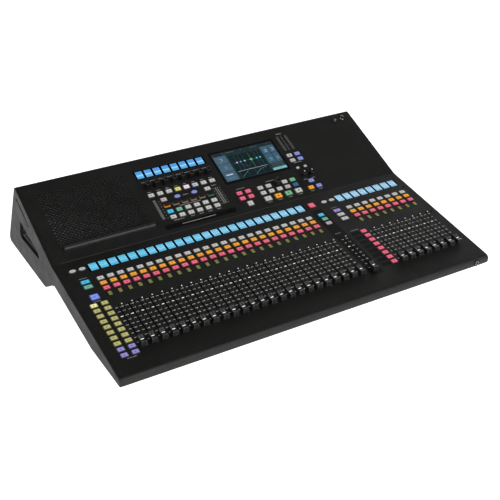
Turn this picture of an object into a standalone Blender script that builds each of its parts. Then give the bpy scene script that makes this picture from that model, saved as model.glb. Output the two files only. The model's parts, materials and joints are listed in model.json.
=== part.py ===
"""A digital mixing console with 33 motor faders, built from its separate pieces.

Metres, +Z up. The origin is on the table under the middle of the console, and the operator
sits on the -Y side. Three empties carry the working planes: the fader panel, the screen panel
and the rear panel. In each of them X and Y lie in the plane and Z points out of the console.
The first two start on the crease where their panels meet, so Y is the distance from it.
"""

import math

import bmesh
import bpy
from mathutils import Vector

# Driving dimensions
WIDTH = 0.825  # over both cheeks
PITCH = 0.0206  # from one fader to the next
FADER_TRAVEL = 0.100
FADER_TILT = math.radians(11.2)  # fader panel, from the table
SCREEN_TILT = math.radians(25.3)  # screen panel, from the table
CREASE_Y = 0.0108
CREASE_Z = 0.0816
FADER_PANEL_DEPTH = 0.331
SCREEN_PANEL_DEPTH = 0.2168
BODY_DEPTH = 0.042  # of the thin front half, square to the fader panel
BASE_Z = 0.0015  # the underside, on its rubber pads
PAD_WIDTH = 0.022
PAD_COLUMNS = (-0.36, 0.36)
PAD_ROWS = (-0.285, 0.105, 0.280)
NOSE_RADIUS = 0.0085  # of the rolled edge towards the operator
REAR_FOOT_Y = 0.3220  # where the rear face would meet the underside, if its corner were sharp
REAR_TURN_UP = 0.0236  # how far the base pan, below, and the screen panel, above, fold
REAR_TURN_DOWN = 0.0146  # over the rear face, with the rear panel between them
SHEET = 0.002  # panel metal
PAN_SHEET = 0.0015
CHEEK = 0.006
GAP = 0.0003  # between neighbours
FIT = 0.0004  # round a key or a switch in its opening

# Columns are counted in pitches from channel 1, and the middle of the console is column 16.5
MIDDLE_COLUMN = 16.5
CHANNELS = 24
MASTER_COLUMN = 24.5
BANK_COLUMN = 28.05  # first fader of the right-hand bank
BANK_FADERS = 8
LEFT_KEY_COLUMNS = (-2.0, -0.97)
MUTE_GROUP_COLUMN = 27.05
WIDE_LEFT_COLUMN = -1.49
WIDE_RIGHT_COLUMN = 26.5

# Rows of the fader panel, from the crease
DISPLAY_ROW = -0.0319
SELECT_ROW = -0.0700
SOLO_ROW = -0.0852
MUTE_ROW = -0.1006
LAYER_ROW = -0.1166
GRID_ROW = -0.1388  # first of the ten rows in the left column
GRID_STEP = 0.01555
CAP_REST = -0.2612  # with the fader all the way down
SLOT_OVERRUN = 0.0085
SLOT_FRONT = CAP_REST - SLOT_OVERRUN
SLOT_REAR = CAP_REST + FADER_TRAVEL + SLOT_OVERRUN
KEY_BAND = (-0.1096, -0.0610)  # front and rear of the web under the three rows of keys

# Rows of the screen panel, from the crease
ENCODER_ROW = 0.1312
PARAMETER_ROW = 0.1698  # the eight small displays over the encoders
FAT_COLUMN = 9.04
KEY_ROW = 0.1080
LINK_ROW = 0.0895
BLOCK_ROWS = (0.0737, 0.0554, 0.0402)
TRANSPORT_ROW = 0.0226
SCREEN_MIDDLE = (21.27, 0.1349)
SCREEN_GLASS = (0.1652, 0.0962)
METER_KEY_ROWS = (0.1235, 0.1077)
SOCKET_KEY_ROW = 0.0834
LEVEL_ROW = 0.0570
LEDGE_MIDDLE = (3.02, 0.0300)
LEDGE_LENGTH = 0.196
VALUE_COLUMN = 22.58
LEVEL_COLUMNS = (26.08, 27.02)

# Keys, pressed by 1 mm
KEY = (0.0142, 0.0104)
WIDE_KEY = (0.0182, 0.0104)
LAYER_KEY = (0.0182, 0.0164)
SQUARE_KEY = (0.0155, 0.0160)
OVAL_KEY = (0.0148, 0.0094)
BIG_KEY = (0.0178, 0.0136)
TALL_KEY = (0.0142, 0.0136)
SMALL_KEY = (0.0075, 0.0062)
KEY_TOP = 0.0014
WEB_TOP = -0.0038  # the rubber web that joins the keys, clear of the panel
WEB_SHEET = 0.0012
WINDOW_DEPTH = 0.025  # of the openings over the small displays
CUT = 0.006  # how far a cutter stands out on each side of a panel

# Faders
SLOT_WIDTH = 0.0026
STEM = (0.0012, 0.0060)
STEM_FOOT = -0.0150
BANK_TOP = -0.0066
BANK_FOOT = -0.0190

# Colours: base, roughness, metallic
BLACK_PAINT = ((0.012, 0.012, 0.013), 0.55, 0.3)
STEEL = ((0.30, 0.30, 0.31), 0.40, 0.9)
BLACK_PLASTIC = ((0.010, 0.010, 0.011), 0.38, 0.0)
GLASS = ((0.006, 0.008, 0.010), 0.08, 0.0)
SILICONE = ((0.62, 0.62, 0.60), 0.60, 0.0)
BOARD_GREEN = ((0.012, 0.090, 0.040), 0.50, 0.0)


def clear_scene():
    for obj in list(bpy.data.objects):
        bpy.data.objects.remove(obj, do_unlink=True)


def collection(name):
    made = bpy.data.collections.new(name)
    bpy.context.scene.collection.children.link(made)
    return made


def material(name, look):
    colour, roughness, metallic = look
    made = bpy.data.materials.new(name)
    made.use_nodes = True
    shader = made.node_tree.nodes["Principled BSDF"]
    shader.inputs["Base Color"].default_value = (*colour, 1.0)
    shader.inputs["Roughness"].default_value = roughness
    shader.inputs["Metallic"].default_value = metallic
    return made


def column(steps):
    """The X of a column, given in pitches from channel 1."""
    return (steps - MIDDLE_COLUMN) * PITCH


def on_plane(tilt, along, above=0.0):
    """World (y, z) of a point of a panel: its distance from the crease and its height."""
    y = CREASE_Y + along * math.cos(tilt) - above * math.sin(tilt)
    z = CREASE_Z + along * math.sin(tilt) + above * math.cos(tilt)
    return y, z


def on_rear(along, above=0.0):
    """World (y, z) of a point of the rear face, measured up from the rear foot."""
    top_y, top_z = on_plane(SCREEN_TILT, SCREEN_PANEL_DEPTH)
    way = (Vector((top_y, top_z)) - Vector((REAR_FOOT_Y, BASE_Z))).normalized()
    y = REAR_FOOT_Y + along * way.x + above * way.y
    z = BASE_Z + along * way.y - above * way.x
    return y, z


# Outlines: lists of 2D points


def rectangle(x, y, size):
    w, h = size[0] / 2, size[1] / 2
    return [(x - w, y - h), (x + w, y - h), (x + w, y + h), (x - w, y + h)]


def oval(x, y, size, points):
    angles = [2 * math.pi * i / points for i in range(points)]
    return [(x + size[0] / 2 * math.cos(a), y + size[1] / 2 * math.sin(a)) for a in angles]


def rounded(corners, steps=4):
    """A closed outline from (x, y, radius) corners, with an arc at each that has a radius."""
    points = []
    for i, (x, y, radius) in enumerate(corners):
        corner = Vector((x, y))
        if radius == 0:
            points.append((x, y))
            continue
        before = (Vector(corners[i - 1][:2]) - corner).normalized()
        after = (Vector(corners[(i + 1) % len(corners)][:2]) - corner).normalized()
        half = before.angle(after) / 2
        centre = corner + (before + after).normalized() * radius / math.sin(half)
        start = corner + before * radius / math.tan(half) - centre
        sweep = start.angle_signed(corner + after * radius / math.tan(half) - centre)
        for k in range(steps + 1):
            turn = -sweep * k / steps
            arm = Vector((
                start.x * math.cos(turn) - start.y * math.sin(turn),
                start.x * math.sin(turn) + start.y * math.cos(turn),
            ))
            points.append(tuple(centre + arm))
    return points


def strip(path, thickness):
    """The closed outline of a sheet that follows a path, thickened to the path's left."""
    inner = []
    for i, point in enumerate(path):
        here = Vector(point)
        ways = [
            (Vector(path[b]) - Vector(path[a])).normalized()
            for a, b in ((i - 1, i), (i, i + 1))
            if a >= 0 and b < len(path)
        ]
        sides = [Vector((-way.y, way.x)) for way in ways]
        if len(sides) == 1:
            sides *= 2
        lean = (sides[0] + sides[1]) / (1 + sides[0].dot(sides[1]))
        inner.append(tuple(here + lean * thickness))
    return list(path) + inner[::-1]


# Solids


def add_object(name, mesh, group, parent=None, look=None):
    obj = bpy.data.objects.new(name, mesh)
    group.objects.link(obj)
    obj.parent = parent
    if look:
        mesh.materials.append(look)
    return obj


def extruded_mesh(name, outlines, low, high):
    """Flat outlines, and the holes inside them, extruded along Z from low to high."""
    curve = bpy.data.curves.new(name, "CURVE")
    curve.dimensions = "2D"
    curve.fill_mode = "BOTH"
    curve.extrude = (high - low) / 2
    for outline in outlines:
        spline = curve.splines.new("POLY")
        spline.points.add(len(outline) - 1)
        for point, (x, y) in zip(spline.points, outline):
            point.co = (x, y, 0, 1)
        spline.use_cyclic_u = True
    holder = bpy.data.objects.new(name, curve)
    bpy.context.scene.collection.objects.link(holder)
    graph = bpy.context.evaluated_depsgraph_get()
    mesh = bpy.data.meshes.new_from_object(holder.evaluated_get(graph))
    mesh.name = name
    bpy.data.objects.remove(holder, do_unlink=True)
    bpy.data.curves.remove(curve)
    edit = bmesh.new()
    edit.from_mesh(mesh)
    bmesh.ops.remove_doubles(edit, verts=edit.verts, dist=1e-6)
    bmesh.ops.translate(edit, verts=edit.verts, vec=(0, 0, (high + low) / 2))
    bmesh.ops.recalc_face_normals(edit, faces=edit.faces)
    edit.to_mesh(mesh)
    edit.free()
    return mesh


def stacked_mesh(name, sections):
    """Rectangles lofted upwards: each section is (z, width, depth), the lowest first."""
    edit = bmesh.new()
    height, width, depth = sections[0]
    loop = [edit.verts.new((x, y, height)) for x, y in rectangle(0, 0, (width, depth))]
    edit.faces.new(loop[::-1])
    for height, width, depth in sections[1:]:
        ring = [edit.verts.new((x, y, height)) for x, y in rectangle(0, 0, (width, depth))]
        for i in range(4):
            k = (i + 1) % 4
            edit.faces.new((loop[i], loop[k], ring[k], ring[i]))
        loop = ring
    edit.faces.new(loop)
    mesh = bpy.data.meshes.new(name)
    edit.to_mesh(mesh)
    edit.free()
    return mesh


def turned_object(name, profile, group, parent, look, steps=16):
    """A profile of (radius, z) points, top to bottom, turned about the object's own Z."""
    mesh = bpy.data.meshes.new(name)
    edges = [(i, i + 1) for i in range(len(profile) - 1)]
    mesh.from_pydata([(radius, 0, z) for radius, z in profile], edges, [])
    obj = add_object(name, mesh, group, parent, look)
    turn = obj.modifiers.new("turn", "SCREW")
    turn.steps = steps
    turn.render_steps = steps
    turn.use_merge_vertices = True
    turn.merge_threshold = 0.00001
    turn.use_smooth_shade = True
    return obj


def across_mesh(name, outline, start, end):
    """An outline of (y, z) points, extruded from x = start to x = end."""
    mesh = extruded_mesh(name, [outline], start, end)
    for vertex in mesh.vertices:
        y, z, x = vertex.co
        vertex.co = (x, y, z)
    return mesh


def as_cutter(obj):
    obj.hide_render = True
    obj.display_type = "WIRE"
    return obj


def combine(obj, other, operation, solver="EXACT"):
    boolean = obj.modifiers.new(operation.lower(), "BOOLEAN")
    boolean.operation = operation
    boolean.solver = solver
    boolean.object = other


def add_frame(name, group, location, rotation):
    frame = bpy.data.objects.new(name, None)
    group.objects.link(frame)
    frame.location = location
    frame.rotation_euler = rotation
    return frame


# Where the keys are: (x, y, size, is_oval)


def channel_keys():
    """The 24 channel strips' keys and the two key columns at the far left."""
    keys = [
        (column(n), row, KEY, False)
        for row in (SELECT_ROW, SOLO_ROW, MUTE_ROW)
        for n in range(CHANNELS)
    ]
    keys += [
        (column(c), GRID_ROW - GRID_STEP * n, KEY, False)
        for c in LEFT_KEY_COLUMNS
        for n in range(10)
    ]
    keys += [(column(c), DISPLAY_ROW + 0.001, OVAL_KEY, True) for c in (-2.0, -1.06)]
    keys += [(column(WIDE_LEFT_COLUMN), row, WIDE_KEY, False) for row in (SELECT_ROW, SOLO_ROW)]
    keys += [(column(WIDE_LEFT_COLUMN), LAYER_ROW, LAYER_KEY, False)]
    return keys


def bank_keys():
    """The right-hand bank's keys, the master strip's, and the mute groups."""
    keys = [
        (column(BANK_COLUMN + n), row, KEY, False)
        for row in (SELECT_ROW, SOLO_ROW, MUTE_ROW)
        for n in range(BANK_FADERS)
    ]
    keys += [
        (column(c), row, size, False)
        for c, size in ((MASTER_COLUMN, KEY), (WIDE_RIGHT_COLUMN, WIDE_KEY))
        for row in (SELECT_ROW, SOLO_ROW, MUTE_ROW)
    ]
    keys += [(column(MASTER_COLUMN), DISPLAY_ROW, SQUARE_KEY, False)]
    keys += [(column(c), DISPLAY_ROW, OVAL_KEY, True) for c in (26.06, 27.02)]
    keys += [
        (column(MUTE_GROUP_COLUMN), GRID_ROW - GRID_STEP * n, KEY, False) for n in range(1, 9)
    ]
    return keys


def fat_channel_keys():
    """The processing keys under the eight encoders."""
    keys = [(column(FAT_COLUMN + n), KEY_ROW, KEY, False) for n in range(8)]
    keys += [(column(c), LINK_ROW, KEY, False) for c in (10.03, 15.05)]
    keys += [(column(c), LINK_ROW, OVAL_KEY, True) for c in (11.57, 13.51)]
    keys += [
        (column(FAT_COLUMN + n), row, KEY, False) for row in BLOCK_ROWS for n in range(1, 7)
    ]
    return keys


def screen_keys():
    """The keys round the screen: navigation, transport, monitoring."""
    keys = [(column(c), row, KEY, False) for c in (18.04, 19.07) for row in BLOCK_ROWS[1:]]
    keys += [(column(18.55), TRANSPORT_ROW, TALL_KEY, False)]
    keys += [(column(c), BLOCK_ROWS[1], KEY, False) for c in (20.56, 21.57, 23.57, 24.57)]
    keys += [(column(20.57 + n), BLOCK_ROWS[2], KEY, False) for n in range(5)]
    keys += [(column(20.69 + 1.26 * n), TRANSPORT_ROW, BIG_KEY, False) for n in range(4)]
    keys += [(column(c), row, KEY, False) for c in (26.05, 27.05) for row in METER_KEY_ROWS]
    keys += [(column(c), SOCKET_KEY_ROW, SMALL_KEY, False) for c in (26.04, 27.00)]
    keys += [(column(26.56), BLOCK_ROWS[2], KEY, False)]
    keys += [(column(c), TRANSPORT_ROW - 0.001, KEY, False) for c in (26.04, 27.05)]
    return keys


def key_outline(x, y, size, is_oval, grow=0.0):
    size = (size[0] + 2 * grow, size[1] + 2 * grow)
    return oval(x, y, size, 12) if is_oval else rectangle(x, y, size)


def block(left, right, front, rear):
    """A rectangle between two columns, in pitches, and two rows."""
    x0, x1 = column(left), column(right)
    return [(x0, front), (x1, front), (x1, rear), (x0, rear)]


# The pieces


def add_key_mat(name, keys, web, parts, cutters, frame, look):
    """One rubber mat: a web under the panel, and the keys that stand up through it."""
    mesh = extruded_mesh(name, web, WEB_TOP - WEB_SHEET, WEB_TOP)
    mat = add_object(name, mesh, parts, frame, look)
    outlines = [key_outline(*key) for key in keys]
    caps = extruded_mesh(name + "_caps", outlines, WEB_TOP - WEB_SHEET / 2, KEY_TOP)
    caps_piece = as_cutter(add_object(name + "_caps", caps, cutters, frame))
    # EXACT leaves open edges where a key stands on the web's long thin triangles
    combine(mat, caps_piece, "UNION", "MANIFOLD")


def add_key_mats(parts, cutters, fader_frame, screen_frame):
    look = material("key_rubber", SILICONE)
    front, rear = KEY_BAND
    display_edge = DISPLAY_ROW + 0.010
    grid_front = GRID_ROW - 9 * GRID_STEP - 0.010
    channel_web = [
        (column(-2.62), grid_front),
        (column(-0.42), grid_front),
        (column(-0.42), front),
        (column(23.5), front),
        (column(23.5), rear),
        (column(-0.62), rear),
        (column(-0.62), display_edge),
        (column(-2.62), display_edge),
    ]
    mute_front = GRID_ROW - 8 * GRID_STEP - 0.008
    bank_web = [
        (column(23.95), front),
        (column(26.55), front),
        (column(26.55), mute_front),
        (column(27.5), mute_front),
        (column(27.5), front),
        (column(35.55), front),
        (column(35.55), rear),
        (column(27.5), rear),
        (column(27.5), display_edge),
        (column(23.95), display_edge),
    ]
    fat_rear = KEY_ROW + 0.008
    fat_web = [
        (column(9.55), BLOCK_ROWS[2] - 0.008),
        (column(15.55), BLOCK_ROWS[2] - 0.008),
        (column(15.55), KEY_ROW - 0.008),
        (column(16.55), KEY_ROW - 0.008),
        (column(16.55), fat_rear),
        (column(8.55), fat_rear),
        (column(8.55), KEY_ROW - 0.008),
        (column(9.55), KEY_ROW - 0.008),
    ]
    screen_web = [
        (column(17.55), TRANSPORT_ROW - 0.009),
        (column(27.55), TRANSPORT_ROW - 0.009),
        (column(27.55), METER_KEY_ROWS[0] + 0.008),
        (column(25.60), METER_KEY_ROWS[0] + 0.008),
        (column(25.60), BLOCK_ROWS[1] + 0.008),
        (column(17.55), BLOCK_ROWS[1] + 0.008),
    ]
    shafts = [(VALUE_COLUMN, BLOCK_ROWS[1])] + [(steps, LEVEL_ROW) for steps in LEVEL_COLUMNS]
    shaft_holes = [oval(column(steps), row, (0.0090, 0.0090), 12) for steps, row in shafts]
    for name, keys, web, frame in (
        ("channel_key_mat", channel_keys(), [channel_web], fader_frame),
        ("bank_key_mat", bank_keys(), [bank_web], fader_frame),
        ("fat_channel_key_mat", fat_channel_keys(), [fat_web], screen_frame),
        ("screen_key_mat", screen_keys(), [screen_web, *shaft_holes], screen_frame),
    ):
        add_key_mat(name, keys, web, parts, cutters, frame, look)


def faders():
    """The name and the column of each fader."""
    named = [(f"fader_cap_{n + 1:02d}", n) for n in range(CHANNELS)]
    named += [("fader_cap_master", MASTER_COLUMN)]
    first = CHANNELS + 1
    named += [(f"fader_cap_{first + n}", BANK_COLUMN + n) for n in range(BANK_FADERS)]
    return named


def slot_outlines():
    middle = (SLOT_FRONT + SLOT_REAR) / 2
    size = (SLOT_WIDTH, SLOT_REAR - SLOT_FRONT)
    return [rectangle(column(steps), middle, size) for _, steps in faders()]


def add_faders(parts, fader_frame):
    """The caps, each on a stem that runs in the bank of motor tracks under the panel."""
    mesh = stacked_mesh("fader_cap", [
        (STEM_FOOT, *STEM),
        (0.0022, *STEM),
        (0.0022, 0.0124, 0.0236),
        (0.0052, 0.0124, 0.0236),
        (0.0090, 0.0100, 0.0150),
        (0.0112, 0.0110, 0.0190),
    ])
    mesh.materials.append(material("cap_plastic", BLACK_PLASTIC))
    for name, steps in faders():
        add_object(name, mesh, parts, fader_frame).location = (column(steps), CAP_REST, 0)
    body = block(-0.58, 35.63, SLOT_FRONT - 0.005, SLOT_REAR + 0.005)
    mesh = extruded_mesh("fader_bank", [body, *slot_outlines()], BANK_FOOT, BANK_TOP)
    add_object("fader_bank", mesh, parts, fader_frame, material("fader_steel", STEEL))


def add_fader_panel(parts, cutters, fader_frame, look):
    """The front sheet, folded down at the operator's edge, with its keys' and faders' openings."""
    half = WIDTH / 2 - CHEEK - GAP
    top, bottom = nose()
    start = on_plane(FADER_TILT, -GAP / 2)
    corners = [(*start, 0), (*top, NOSE_RADIUS), (bottom[0], bottom[1] + GAP, 0)]
    mesh = across_mesh("fader_panel", strip(rounded(corners, 6), SHEET), -half, half)
    panel = add_object("fader_panel", mesh, parts, None, look)
    outlines = [key_outline(*key, grow=FIT) for key in channel_keys() + bank_keys()]
    outlines += slot_outlines()
    window = (DISPLAY_ROW - WINDOW_DEPTH / 2, DISPLAY_ROW + WINDOW_DEPTH / 2)
    outlines += [block(-0.50, 23.60, *window), block(27.58, 35.62, *window)]
    holes = extruded_mesh("fader_panel_holes", outlines, -CUT, CUT)
    cutter = add_object("fader_panel_holes", holes, cutters, fader_frame)
    combine(panel, as_cutter(cutter), "DIFFERENCE")


def add_screen_panel(parts, cutters, screen_frame, look):
    """The rear sheet, rolled over at its rear edge, with the screen's and the knobs' openings."""
    half = WIDTH / 2 - CHEEK - GAP
    corner = on_plane(SCREEN_TILT, SCREEN_PANEL_DEPTH)
    corners = [
        (*on_rear(rear_length() - REAR_TURN_DOWN), 0),
        (*corner, 0.008),
        (*on_plane(SCREEN_TILT, GAP / 2), 0),
    ]
    mesh = across_mesh("screen_panel", strip(rounded(corners, 6), SHEET), -half, half)
    panel = add_object("screen_panel", mesh, parts, None, look)
    outlines = [key_outline(*key, grow=FIT) for key in fat_channel_keys() + screen_keys()]
    shafts = [(FAT_COLUMN + n, ENCODER_ROW) for n in range(8)]
    shafts += [(steps, LEVEL_ROW) for steps in LEVEL_COLUMNS] + [(VALUE_COLUMN, BLOCK_ROWS[1])]
    outlines += [oval(column(steps), row, (0.0072, 0.0072), 12) for steps, row in shafts]
    window = (PARAMETER_ROW - WINDOW_DEPTH / 2, PARAMETER_ROW + WINDOW_DEPTH / 2)
    outlines += [block(FAT_COLUMN - 0.55, FAT_COLUMN + 7.55, *window)]
    opening = (SCREEN_GLASS[0] + 2 * FIT, SCREEN_GLASS[1] + 2 * FIT)
    outlines += [rectangle(column(SCREEN_MIDDLE[0]), SCREEN_MIDDLE[1], opening)]
    holes = extruded_mesh("screen_panel_holes", outlines, -CUT, CUT)
    cutter = add_object("screen_panel_holes", holes, cutters, screen_frame)
    combine(panel, as_cutter(cutter), "DIFFERENCE")


def underside():
    """The underside's corners, front to rear: foot, hollow under the crease, rear box."""
    rise = BASE_Z - CREASE_Z + BODY_DEPTH * math.cos(FADER_TILT)
    return [
        (*on_plane(FADER_TILT, rise / math.sin(FADER_TILT), -BODY_DEPTH), 0),
        (*on_plane(FADER_TILT, -0.011, -BODY_DEPTH), 0.006),
        (0.024, 0.032, 0.004),
        (0.073, 0.0035, 0.002),
        (0.085, BASE_Z, 0),
    ]


def nose():
    """The corners of the operator's edge, top and bottom."""
    y, z = on_plane(FADER_TILT, -FADER_PANEL_DEPTH)
    return (y, z), (y + 0.002, BASE_Z)


def side_outline():
    """The console's side view, as (y, z, radius) corners from the nose round underneath."""
    top, bottom = nose()
    return [
        (*top, NOSE_RADIUS),
        (*bottom, 0.0015),
        *underside(),
        (REAR_FOOT_Y, BASE_Z, 0.010),
        (*on_plane(SCREEN_TILT, SCREEN_PANEL_DEPTH), 0.008),
        (CREASE_Y, CREASE_Z, 0),
    ]


GRIP_CORNERS = (
    (0.201, 0.098, 0.006),
    (0.098, 0.073, 0.005),
    (0.090, 0.058, 0.005),
    (0.217, 0.055, 0.006),
)
GRIP_DEPTH = 0.011
GRIP_WALL = 0.003


def grown(corners, by):
    """Corners moved out from their middle, to leave a wall round a recess."""
    middle = sum((Vector(c[:2]) for c in corners), Vector((0, 0))) / len(corners)
    moved = []
    for x, y, radius in corners:
        out = Vector((x, y)) - middle
        moved.append((x + math.copysign(by, out.x), y + math.copysign(by, out.y), radius))
    return moved


def add_cheek(name, side, parts, cutters, look):
    """A side cheek with its carrying recess, and a cooling slot along its top edge."""
    outer = side * WIDTH / 2

    def between(part, outline, depth_out, depth_in):
        ends = sorted((outer - side * depth_out, outer - side * depth_in))
        return across_mesh(part, outline, *ends)

    cheek = add_object(
        name, between(name, rounded(side_outline()), 0.0, CHEEK), parts, None, look
    )
    boss_outline = rounded(grown(GRIP_CORNERS, GRIP_WALL))
    boss = between(name + "_boss", boss_outline, CHEEK / 2, GRIP_DEPTH + GRIP_WALL)
    combine(cheek, as_cutter(add_object(name + "_boss", boss, cutters)), "UNION")
    recess = between(name + "_recess", rounded(GRIP_CORNERS), -0.002, GRIP_DEPTH)
    combine(cheek, as_cutter(add_object(name + "_recess", recess, cutters)), "DIFFERENCE")
    slot = [
        (*on_plane(SCREEN_TILT, 0.124, -0.0275), 0.0018),
        (*on_plane(SCREEN_TILT, 0.124, -0.0235), 0.0018),
        (*on_plane(SCREEN_TILT, 0.204, -0.0195), 0.0018),
        (*on_plane(SCREEN_TILT, 0.204, -0.0255), 0.0018),
    ]
    slot_mesh = between(name + "_slot", rounded(slot, 3), -0.002, 0.003)
    combine(cheek, as_cutter(add_object(name + "_slot", slot_mesh, cutters)), "DIFFERENCE")


def add_base_pan(parts, cutters, look):
    """The steel tray that carries everything, with an upright wall inside each cheek."""
    half = WIDTH / 2 - CHEEK - GAP
    front_y = nose()[1][0] + SHEET + GAP
    floor = [
        (front_y, BASE_Z + 0.0085, 0),
        (front_y, BASE_Z, 0.003),
        *underside(),
        (REAR_FOOT_Y, BASE_Z, 0.010),
        (*on_rear(REAR_TURN_UP), 0),
    ]
    pan_mesh = across_mesh("base_pan", strip(rounded(floor), PAN_SHEET), -half, half)
    pan = add_object("base_pan", pan_mesh, parts, None, look)
    lap = 0.0004  # how far a wall sinks into the floor it stands on
    wall = [
        (*on_plane(FADER_TILT, -FADER_PANEL_DEPTH + 0.010, -0.0035), 0),
        (front_y + lap, BASE_Z + lap, 0),
        *[(y, z + lap, radius) for y, z, radius in underside()],
        (REAR_FOOT_Y - 0.0195, BASE_Z + lap, 0),
        (*on_rear(0.0188, -2 * lap), 0),
        (*on_rear(REAR_TURN_UP, -0.0036), 0),
        (*on_plane(SCREEN_TILT, SCREEN_PANEL_DEPTH - 0.012, -0.0060), 0),
        (*on_plane(SCREEN_TILT, 0.0, -0.0035), 0),
    ]
    outlines = [oval(x, y, (PAD_WIDTH, PAD_WIDTH), 12) for x in PAD_COLUMNS for y in PAD_ROWS]
    pads = extruded_mesh("base_pan_pads", outlines, 0, BASE_Z + lap)
    combine(pan, as_cutter(add_object("base_pan_pads", pads, cutters)), "UNION")
    window = rounded(grown(GRIP_CORNERS, GRIP_WALL + 0.0008))
    for side, name in ((-1, "left"), (1, "right")):
        ends = sorted((side * (half - lap), side * (half - lap - PAN_SHEET)))
        wall_mesh = across_mesh("base_pan_wall_" + name, rounded(wall), *ends)
        wall_piece = add_object("base_pan_wall_" + name, wall_mesh, cutters)
        combine(pan, as_cutter(wall_piece), "UNION")
        ends = sorted((side * (half + 0.002), side * (half - 0.004)))
        window_mesh = across_mesh("base_pan_window_" + name, window, *ends)
        window_piece = add_object("base_pan_window_" + name, window_mesh, cutters)
        combine(pan, as_cutter(window_piece), "DIFFERENCE")


REAR_INSET = 0.0006
SWITCH_X = -0.345  # in the rear frame, so at the console's right as the operator sits
SWITCH_Y = -0.060
SWITCH_OPENING = (0.0145, 0.0225)
SWITCH_LEAN = math.radians(8)


def rear_length():
    top_y, top_z = on_plane(SCREEN_TILT, SCREEN_PANEL_DEPTH)
    return math.hypot(REAR_FOOT_Y - top_y, top_z - BASE_Z)


def add_rear_panel(parts, rear_frame, look):
    """The connector panel, let in a little between the folds above and below it."""
    half = WIDTH / 2 - CHEEK - GAP
    low = REAR_TURN_UP - rear_length() / 2 + GAP
    high = rear_length() / 2 - REAR_TURN_DOWN - GAP
    outline = [(-half, low), (half, low), (half, high), (-half, high)]
    opening = rectangle(SWITCH_X, SWITCH_Y, SWITCH_OPENING)
    mesh = extruded_mesh("rear_panel", [outline, opening], -REAR_INSET - SHEET, -REAR_INSET)
    add_object("rear_panel", mesh, parts, rear_frame, look)
    rocker = [
        (-0.0075, 0.0110, 0.0130),
        (0.0012, 0.0130, 0.0200),
        (0.0026, 0.0130, 0.0110),
    ]
    mesh = stacked_mesh("power_switch", rocker)
    switch = add_object(
        "power_switch", mesh, parts, rear_frame, material("switch_plastic", BLACK_PLASTIC)
    )
    switch.location = (SWITCH_X, SWITCH_Y, 0)
    switch.rotation_euler = (-SWITCH_LEAN, 0, 0)


def add_screen(parts, screen_frame):
    """The touchscreen: a module under the panel, and its glass standing in the opening."""
    module = (0.1760, 0.1060)
    mesh = stacked_mesh("touchscreen", [
        (-0.0105, *module),
        (-SHEET - GAP, *module),
        (-SHEET - GAP, *SCREEN_GLASS),
        (0.0003, *SCREEN_GLASS),
    ])
    screen = add_object("touchscreen", mesh, parts, screen_frame, material("screen_glass", GLASS))
    screen.location = (column(SCREEN_MIDDLE[0]), SCREEN_MIDDLE[1], 0)


def add_ledge(parts, screen_frame, look):
    """The bar that a tablet rests on, screwed to the screen panel."""
    half, height = 0.0055, 0.0065
    corners = [(-half, 0, 0), (half, 0, 0), (half, height, 0.0025), (-half, height, 0.0045)]
    mesh = across_mesh("tablet_ledge", rounded(corners, 5), -LEDGE_LENGTH / 2, LEDGE_LENGTH / 2)
    ledge = add_object("tablet_ledge", mesh, parts, screen_frame, look)
    ledge.location = (column(LEDGE_MIDDLE[0]), LEDGE_MIDDLE[1], GAP)


def knob_profile(radius, height):
    """Top to bottom: a crowned knob, then the shaft that passes through the panel."""
    return [
        (0.0, height),
        (radius - 0.0012, height),
        (radius - 0.0002, height - 0.0010),
        (radius, 0.0010),
        (0.0030, 0.0010),
        (0.0030, -0.0085),
        (0.0, -0.0085),
    ]


def add_knobs(parts, screen_frame):
    look = material("knob_plastic", BLACK_PLASTIC)
    for n in range(8):
        profile = knob_profile(0.0058, 0.0155)
        knob = turned_object(f"fat_encoder_{n + 1}", profile, parts, screen_frame, look)
        knob.location = (column(FAT_COLUMN + n), ENCODER_ROW, 0)
    value = turned_object("value_encoder", knob_profile(0.0078, 0.0150), parts, screen_frame, look)
    value.location = (column(VALUE_COLUMN), BLOCK_ROWS[1], 0)
    names = ("phones_level_knob", "monitor_level_knob")
    for name, steps in zip(names, LEVEL_COLUMNS):
        knob = turned_object(name, knob_profile(0.0062, 0.0145), parts, screen_frame, look)
        knob.location = (column(steps), LEVEL_ROW, 0)


def add_electronics(parts):
    """The main board on its pillar and the power supply, on the floor of the rear box."""
    floor = BASE_Z + PAN_SHEET + GAP
    pillar, board = (0.030, 0.030), (0.420, 0.150)
    mesh = stacked_mesh("main_board", [
        (floor, *pillar),
        (0.0200, *pillar),
        (0.0200, *board),
        (0.0216, *board),
    ])
    look = material("board", BOARD_GREEN)
    add_object("main_board", mesh, parts, None, look).location = (0.060, 0.185, 0)
    mesh = stacked_mesh("power_supply", [(floor, 0.110, 0.160), (floor + 0.040, 0.110, 0.160)])
    look = material("supply_case", STEEL)
    add_object("power_supply", mesh, parts, None, look).location = (-0.265, 0.185, 0)


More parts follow.
